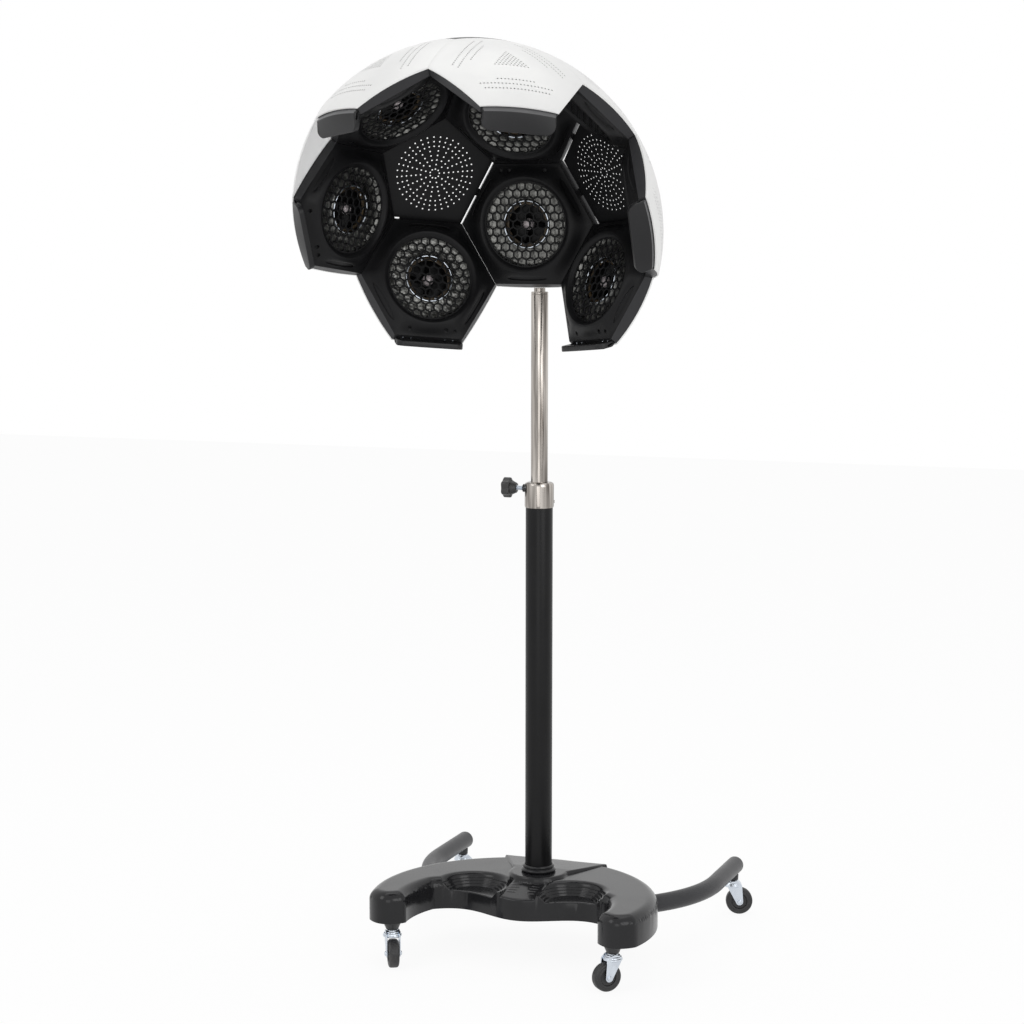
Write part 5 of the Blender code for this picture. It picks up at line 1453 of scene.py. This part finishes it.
def build_leg():
    """Leg tube and its two plugs."""
    put("leg", leg_mesh(), "base", ["leg_tube"])
    profile = [(0.0, PLUG_BASE + PLUG_CROWN)]
    for turn in range(84, -1, -12):
        angle = math.radians(turn)
        profile.append((LEG_RADIUS * math.cos(angle), PLUG_BASE + PLUG_CROWN * math.sin(angle)))
    plug = finished(lathe(profile + list(PLUG_SHANK), SMALL_STEPS), "plug", [KNOB_BLACK], 40.0)
    facing_back = Matrix.Rotation(-math.pi / 2.0, 4, "X")
    for side, sign in (("left", -1.0), ("right", 1.0)):
        spot = COLUMN @ Matrix.Translation((sign * LEG_HALF_TRACK, LEG_END_Y, LEG_Z)) @ facing_back
        put("plug_" + side, plug, "base", ["leg_plug_" + side], spot)


def fork_mesh():
    """Castor fork: stacked race rings, two pressed legs and the axle with its nut."""
    forms = [(turned(FORK_RACES, 0.0007, 3), IDENTITY, 0)]
    outline = [FORK_BACK] + arc(AXLE, FORK_EYE, 200.0, 372.0, 14) + [FORK_FRONT]
    outline += arc(FORK_CROWN, FORK_CROWN_RADIUS, 24.0, 156.0, 8)[1:-1]
    upright = Matrix.Rotation(math.pi / 2.0, 4, "X")
    for start in (-FORK_GAP - FORK_WALL, FORK_GAP):
        forms.append((plate([outline], start, start + FORK_WALL, bevel=FORK_BEVEL), upright, 0))
    bolt = both_ways(raised(AXLE_HEAD, FORK_GAP + FORK_WALL))
    forms.append((turned(bolt, 0.0004, 2, 24), Matrix.Translation((AXLE[0], 0.0, AXLE[1])) @ upright, 0))
    return finished(join(forms), "fork", [ZINC])


def wheel_mesh():
    """Wheel with a rounded tread, a raised rim ring and a recessed hub."""
    half = WHEEL_HALF_WIDTH
    profile = raised(WHEEL_SIDE, half)
    for turn in TREAD_TURNS:
        angle = math.radians(turn)
        profile.append((WHEEL_RADIUS - TREAD_ROUND + TREAD_ROUND * math.cos(angle),
                        half - TREAD_DROP + TREAD_RISE * math.sin(angle)))
    profile.append((WHEEL_RADIUS, half * TREAD_FLAT_SHARE))
    return finished(turned(both_ways(profile), 0.0006, 2, ROUND_STEPS, True), "wheel", [RUBBER])


def build_castors():
    """Four castors, each turned as its packed joints say, and the bosses over the front two."""
    fork = fork_mesh()
    wheel = wheel_mesh()
    for corner in CASTORS:
        swivel = place_of("castor_swivel_" + corner)
        hub = place_of("wheel_spin_" + corner)
        trail = Vector((hub.x - swivel.x, hub.y - swivel.y, 0.0)).normalized()
        put("fork_" + corner, fork, "fork_" + corner, ["castor_fork_" + corner],
            Matrix.Translation(swivel) @ facing(UP, trail))
        put("tyre_" + corner, wheel, "wheel_" + corner, ["castor_wheel_" + corner],
            Matrix.Translation(hub) @ facing(axis_of("wheel_spin_" + corner), UP))
    boss = finished(turned(CASTOR_BOSS, 0.002), "boss", [KNOB_BLACK], 40.0)
    for corner in CASTORS[:2]:
        put("boss_" + corner, boss, "base", (),
            Matrix.Translation(place_of("castor_swivel_" + corner)))


def build_column():
    """Outer tube, foot ring and collar on the base; the sliding tube and its bush above."""
    outer = tube(COLUMN_RADIUS, COLUMN_RADIUS - COLUMN_WALL, COLUMN_BOTTOM_Z,
                 COLLAR_BOTTOM_Z + COLLAR_SEAT - SEAT_GAP)
    put_on_column("column", outer, SATIN_BLACK, "base", "column_tube")
    ring = turned(raised(FOOT_RING, PLATE_TOP_Z + SEAT_GAP), 0.0010, 3, ROUND_STEPS, True)
    put_on_column("foot_ring", ring, GLOSS_BLACK, "base", "column_foot_ring")
    collar = turned(raised(COLLAR, COLLAR_BOTTOM_Z), 0.0010, 3, ROUND_STEPS, True)
    grub = lathe(raised(GRUB_SCREW, COLLAR_RADIUS), 20)
    lying = Matrix.Rotation(math.radians(GRUB_TURN), 4, "Z") @ Matrix.Rotation(math.pi / 2.0, 4, "Y")
    spot = Matrix.Translation((0.0, 0.0, COLLAR_BOTTOM_Z + GRUB_HEIGHT)) @ lying
    put_on_column("collar", join([(collar, IDENTITY, 0), (grub, spot, 0)]), CHROME_PAINTED_REFLECTIONS, "base",
                  "clamp_collar")
    sliding = tube(INNER_TUBE_RADIUS, INNER_TUBE_BORE, INNER_TUBE_BOTTOM_Z, INNER_TUBE_TOP_Z)
    put_on_column("sliding_tube", sliding, CHROME_PAINTED_REFLECTIONS, "slider", "inner_tube")
    bush = turned(raised(TOP_BUSH, INNER_TUBE_TOP_Z + SEAT_GAP), 0.0005, 3, ROUND_STEPS, True)
    put_on_column("top_bush", bush, CHROME_PAINTED_REFLECTIONS, "slider", "neck_bush")


def knob_outline():
    """Plan of the knob: soft lobes all round."""
    points = []
    steps = KNOB_LOBES * KNOB_LOBE_STEPS
    for step in range(steps):
        angle = math.tau * step / steps
        reach = KNOB_RADIUS - KNOB_LOBE_DEPTH + KNOB_LOBE_DEPTH * math.cos(KNOB_LOBES * angle)
        points.append(polar(reach, angle))
    return points


def stud_profile():
    """Profile of the clamp's stud, from its end in the knob along the thread to its point."""
    profile = list(STUD_POINT)
    for turn in range(THREAD_TURNS):
        height = THREAD_START + THREAD_PITCH * turn
        profile += [(STUD_RADIUS, height - THREAD_HALF_WIDTH), (THREAD_ROOT, height),
                    (STUD_RADIUS, height + THREAD_HALF_WIDTH)]
    profile += [(STUD_RADIUS, STUD_END), (0.0, STUD_END)]
    return profile[::-1]


def build_knob():
    """Lobed knob on its bright stud, pointing to -X."""
    spot = Matrix.Translation(place_of("knob_turn")) @ Matrix.Rotation(-math.pi / 2.0, 4, "Y")
    head = plate([knob_outline()], KNOB_FACE, KNOB_FACE + KNOB_DEPTH, bevel=KNOB_BEVEL, segments=4)
    forms = [(head, IDENTITY, 0), (turned(raised(KNOB_HUB, KNOB_FACE), 0.0008), IDENTITY, 0),
             (turned(raised(KNOB_DISC, KNOB_FACE), 0.0006), IDENTITY, 0)]
    knob = finished(join(forms), "knob", [KNOB_BLACK], 40.0)
    put("knob", knob, "knob", ["clamp_knob"], spot)
    forms = [(lathe(stud_profile(), STUD_STEPS), IDENTITY, 0),
             (lathe(STUD_RING, STUD_STEPS, True), IDENTITY, 1)]
    stud = finished(join(forms), "stud", [ZINC, KNOB_BLACK], 30.0)
    put("stud", stud, "knob", ["clamp_stud"], spot)


def build_neck():
    """Neck post with its knuckle, and the pin through it."""
    foot_top = NECK_BOTTOM_Z + NECK_FOOT_HEIGHT
    post = [(0.0, HINGE.z), (NECK_TIP_RADIUS, HINGE.z), (NECK_RADIUS, HINGE.z - NECK_TAPER),
            (NECK_RADIUS, foot_top), (NECK_FOOT_RADIUS, foot_top), (NECK_FOOT_RADIUS, NECK_BOTTOM_Z),
            (0.0, NECK_BOTTOM_Z)]
    sideways = Matrix.Translation((0.0, 0.0, HINGE.z)) @ Matrix.Rotation(math.pi / 2.0, 4, "Y")
    neck = join([(turned(post, 0.0008, steps=ROUND_STEPS), IDENTITY, 0),
                 (turned(KNUCKLE, 0.0012, steps=ROUND_STEPS), sideways, 0)])
    put_on_column("neck", neck, CHROME_PAINTED_REFLECTIONS, "neck", "neck_post")
    pin = turned(both_ways(raised(PIN_HEAD, PIN_HALF_LENGTH)), 0.0005)
    put("pin", finished(pin, "pin", [ZINC]), "neck", ["tilt_pin"], COLUMN @ sideways)


def dress_nodes():
    """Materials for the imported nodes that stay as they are."""
    for name, finish in (("base_frame", CAST_IRON), ("hood_bracket", SATIN_BLACK), ("lower_guide", NYLON),
                         ("column_bush", NYLON), ("clamp_pad", BRASS)):
        mesh = frame["nodes"][name].data
        mesh.materials.clear()
        mesh.materials.append(finish)


# Stage, light and camera


def light_path_mix(tree, dim, bright):
    """Shows the bright shader to the camera, to mirrors and through glass, and the dim one to soft light."""
    path = tree.nodes.new("ShaderNodeLightPath")
    seen = path.outputs["Is Camera Ray"]
    for kind in ("Is Glossy Ray", "Is Transmission Ray"):
        either = {0: seen, 1: path.outputs[kind]}
        seen = node(tree, "ShaderNodeMath", "Value", {}, either, operation="MAXIMUM")
    return node(tree, "ShaderNodeMixShader", "Shader", {}, {"Fac": seen, 1: dim, 2: bright})


def build_world():
    """White studio: plain white to the camera, softer as a light."""
    world = bpy.data.worlds.new("studio")
    bpy.context.scene.world = world
    world.use_nodes = True
    tree = world.node_tree
    dim = tree.nodes["Background"]
    dim.inputs["Color"].default_value = WHITE
    dim.inputs["Strength"].default_value = WORLD_LIGHT
    bright = node(tree, "ShaderNodeBackground", "Background", {"Color": WHITE, "Strength": 1.0}, {})
    shown = light_path_mix(tree, dim.outputs["Background"], bright)
    tree.links.new(shown, tree.nodes["World Output"].inputs["Surface"])


def build_floor():
    """Plain pale floor that keeps a soft shadow."""
    made, tree, inputs = new_material("floor_white")
    inputs["Base Color"].default_value = FLOOR_WHITE
    inputs["Roughness"].default_value = FLOOR_ROUGHNESS
    plain = tree.nodes["Principled BSDF"].outputs["BSDF"]
    glow = node(tree, "ShaderNodeEmission", "Emission", {"Color": WHITE, "Strength": 1.0}, {})
    partly = node(tree, "ShaderNodeMixShader", "Shader", {"Fac": FLOOR_GLOW}, {1: plain, 2: glow})
    shown = light_path_mix(tree, plain, partly)
    tree.links.new(shown, tree.nodes["Material Output"].inputs["Surface"])
    bm = bmesh.new()
    bmesh.ops.create_grid(bm, x_segments=1, y_segments=1, size=FLOOR_SIZE)
    floor = bpy.data.objects.new("floor", finished(bm, "floor", [made]))
    bpy.context.scene.collection.objects.link(floor)


def build_lights():
    """Large square soft boxes: high left, at the right, above, and low in front."""
    for name, place, target, size, power in LAMPS:
        lamp = bpy.data.lights.new(name, "AREA")
        lamp.size = size
        lamp.energy = power
        box = bpy.data.objects.new(name, lamp)
        box.location = place
        box.rotation_euler = (Vector(target) - Vector(place)).to_track_quat("-Z", "Y").to_euler()
        bpy.context.scene.collection.objects.link(box)


def build_camera():
    """Camera at the photograph's view."""
    data = bpy.data.cameras.new("camera")
    data.lens = CAMERA_LENS
    data.sensor_width = CAMERA_SENSOR
    data.clip_end = CAMERA_FAR
    camera = bpy.data.objects.new("camera", data)
    turn = Vector(CAMERA_FORWARD).to_track_quat("-Z", "Y").to_matrix().to_4x4()
    roll = Matrix.Rotation(math.radians(CAMERA_ROLL), 4, "Z")
    camera.matrix_world = Matrix.Translation(CAMERA_PLACE) @ turn @ roll
    bpy.context.scene.collection.objects.link(camera)
    bpy.context.scene.camera = camera


def main():
    """Build every piece, then the stage, the light and the camera."""
    build_camera()
    build_hood()
    build_pentagons()
    put("base_skin", base_mesh(), "base", ["base_cover"], COLUMN)
    build_leg()
    build_castors()
    build_column()
    build_knob()
    build_neck()
    dress_nodes()
    build_world()
    build_floor()
    build_lights()
    bpy.context.scene.view_settings.view_transform = "Standard"


main()
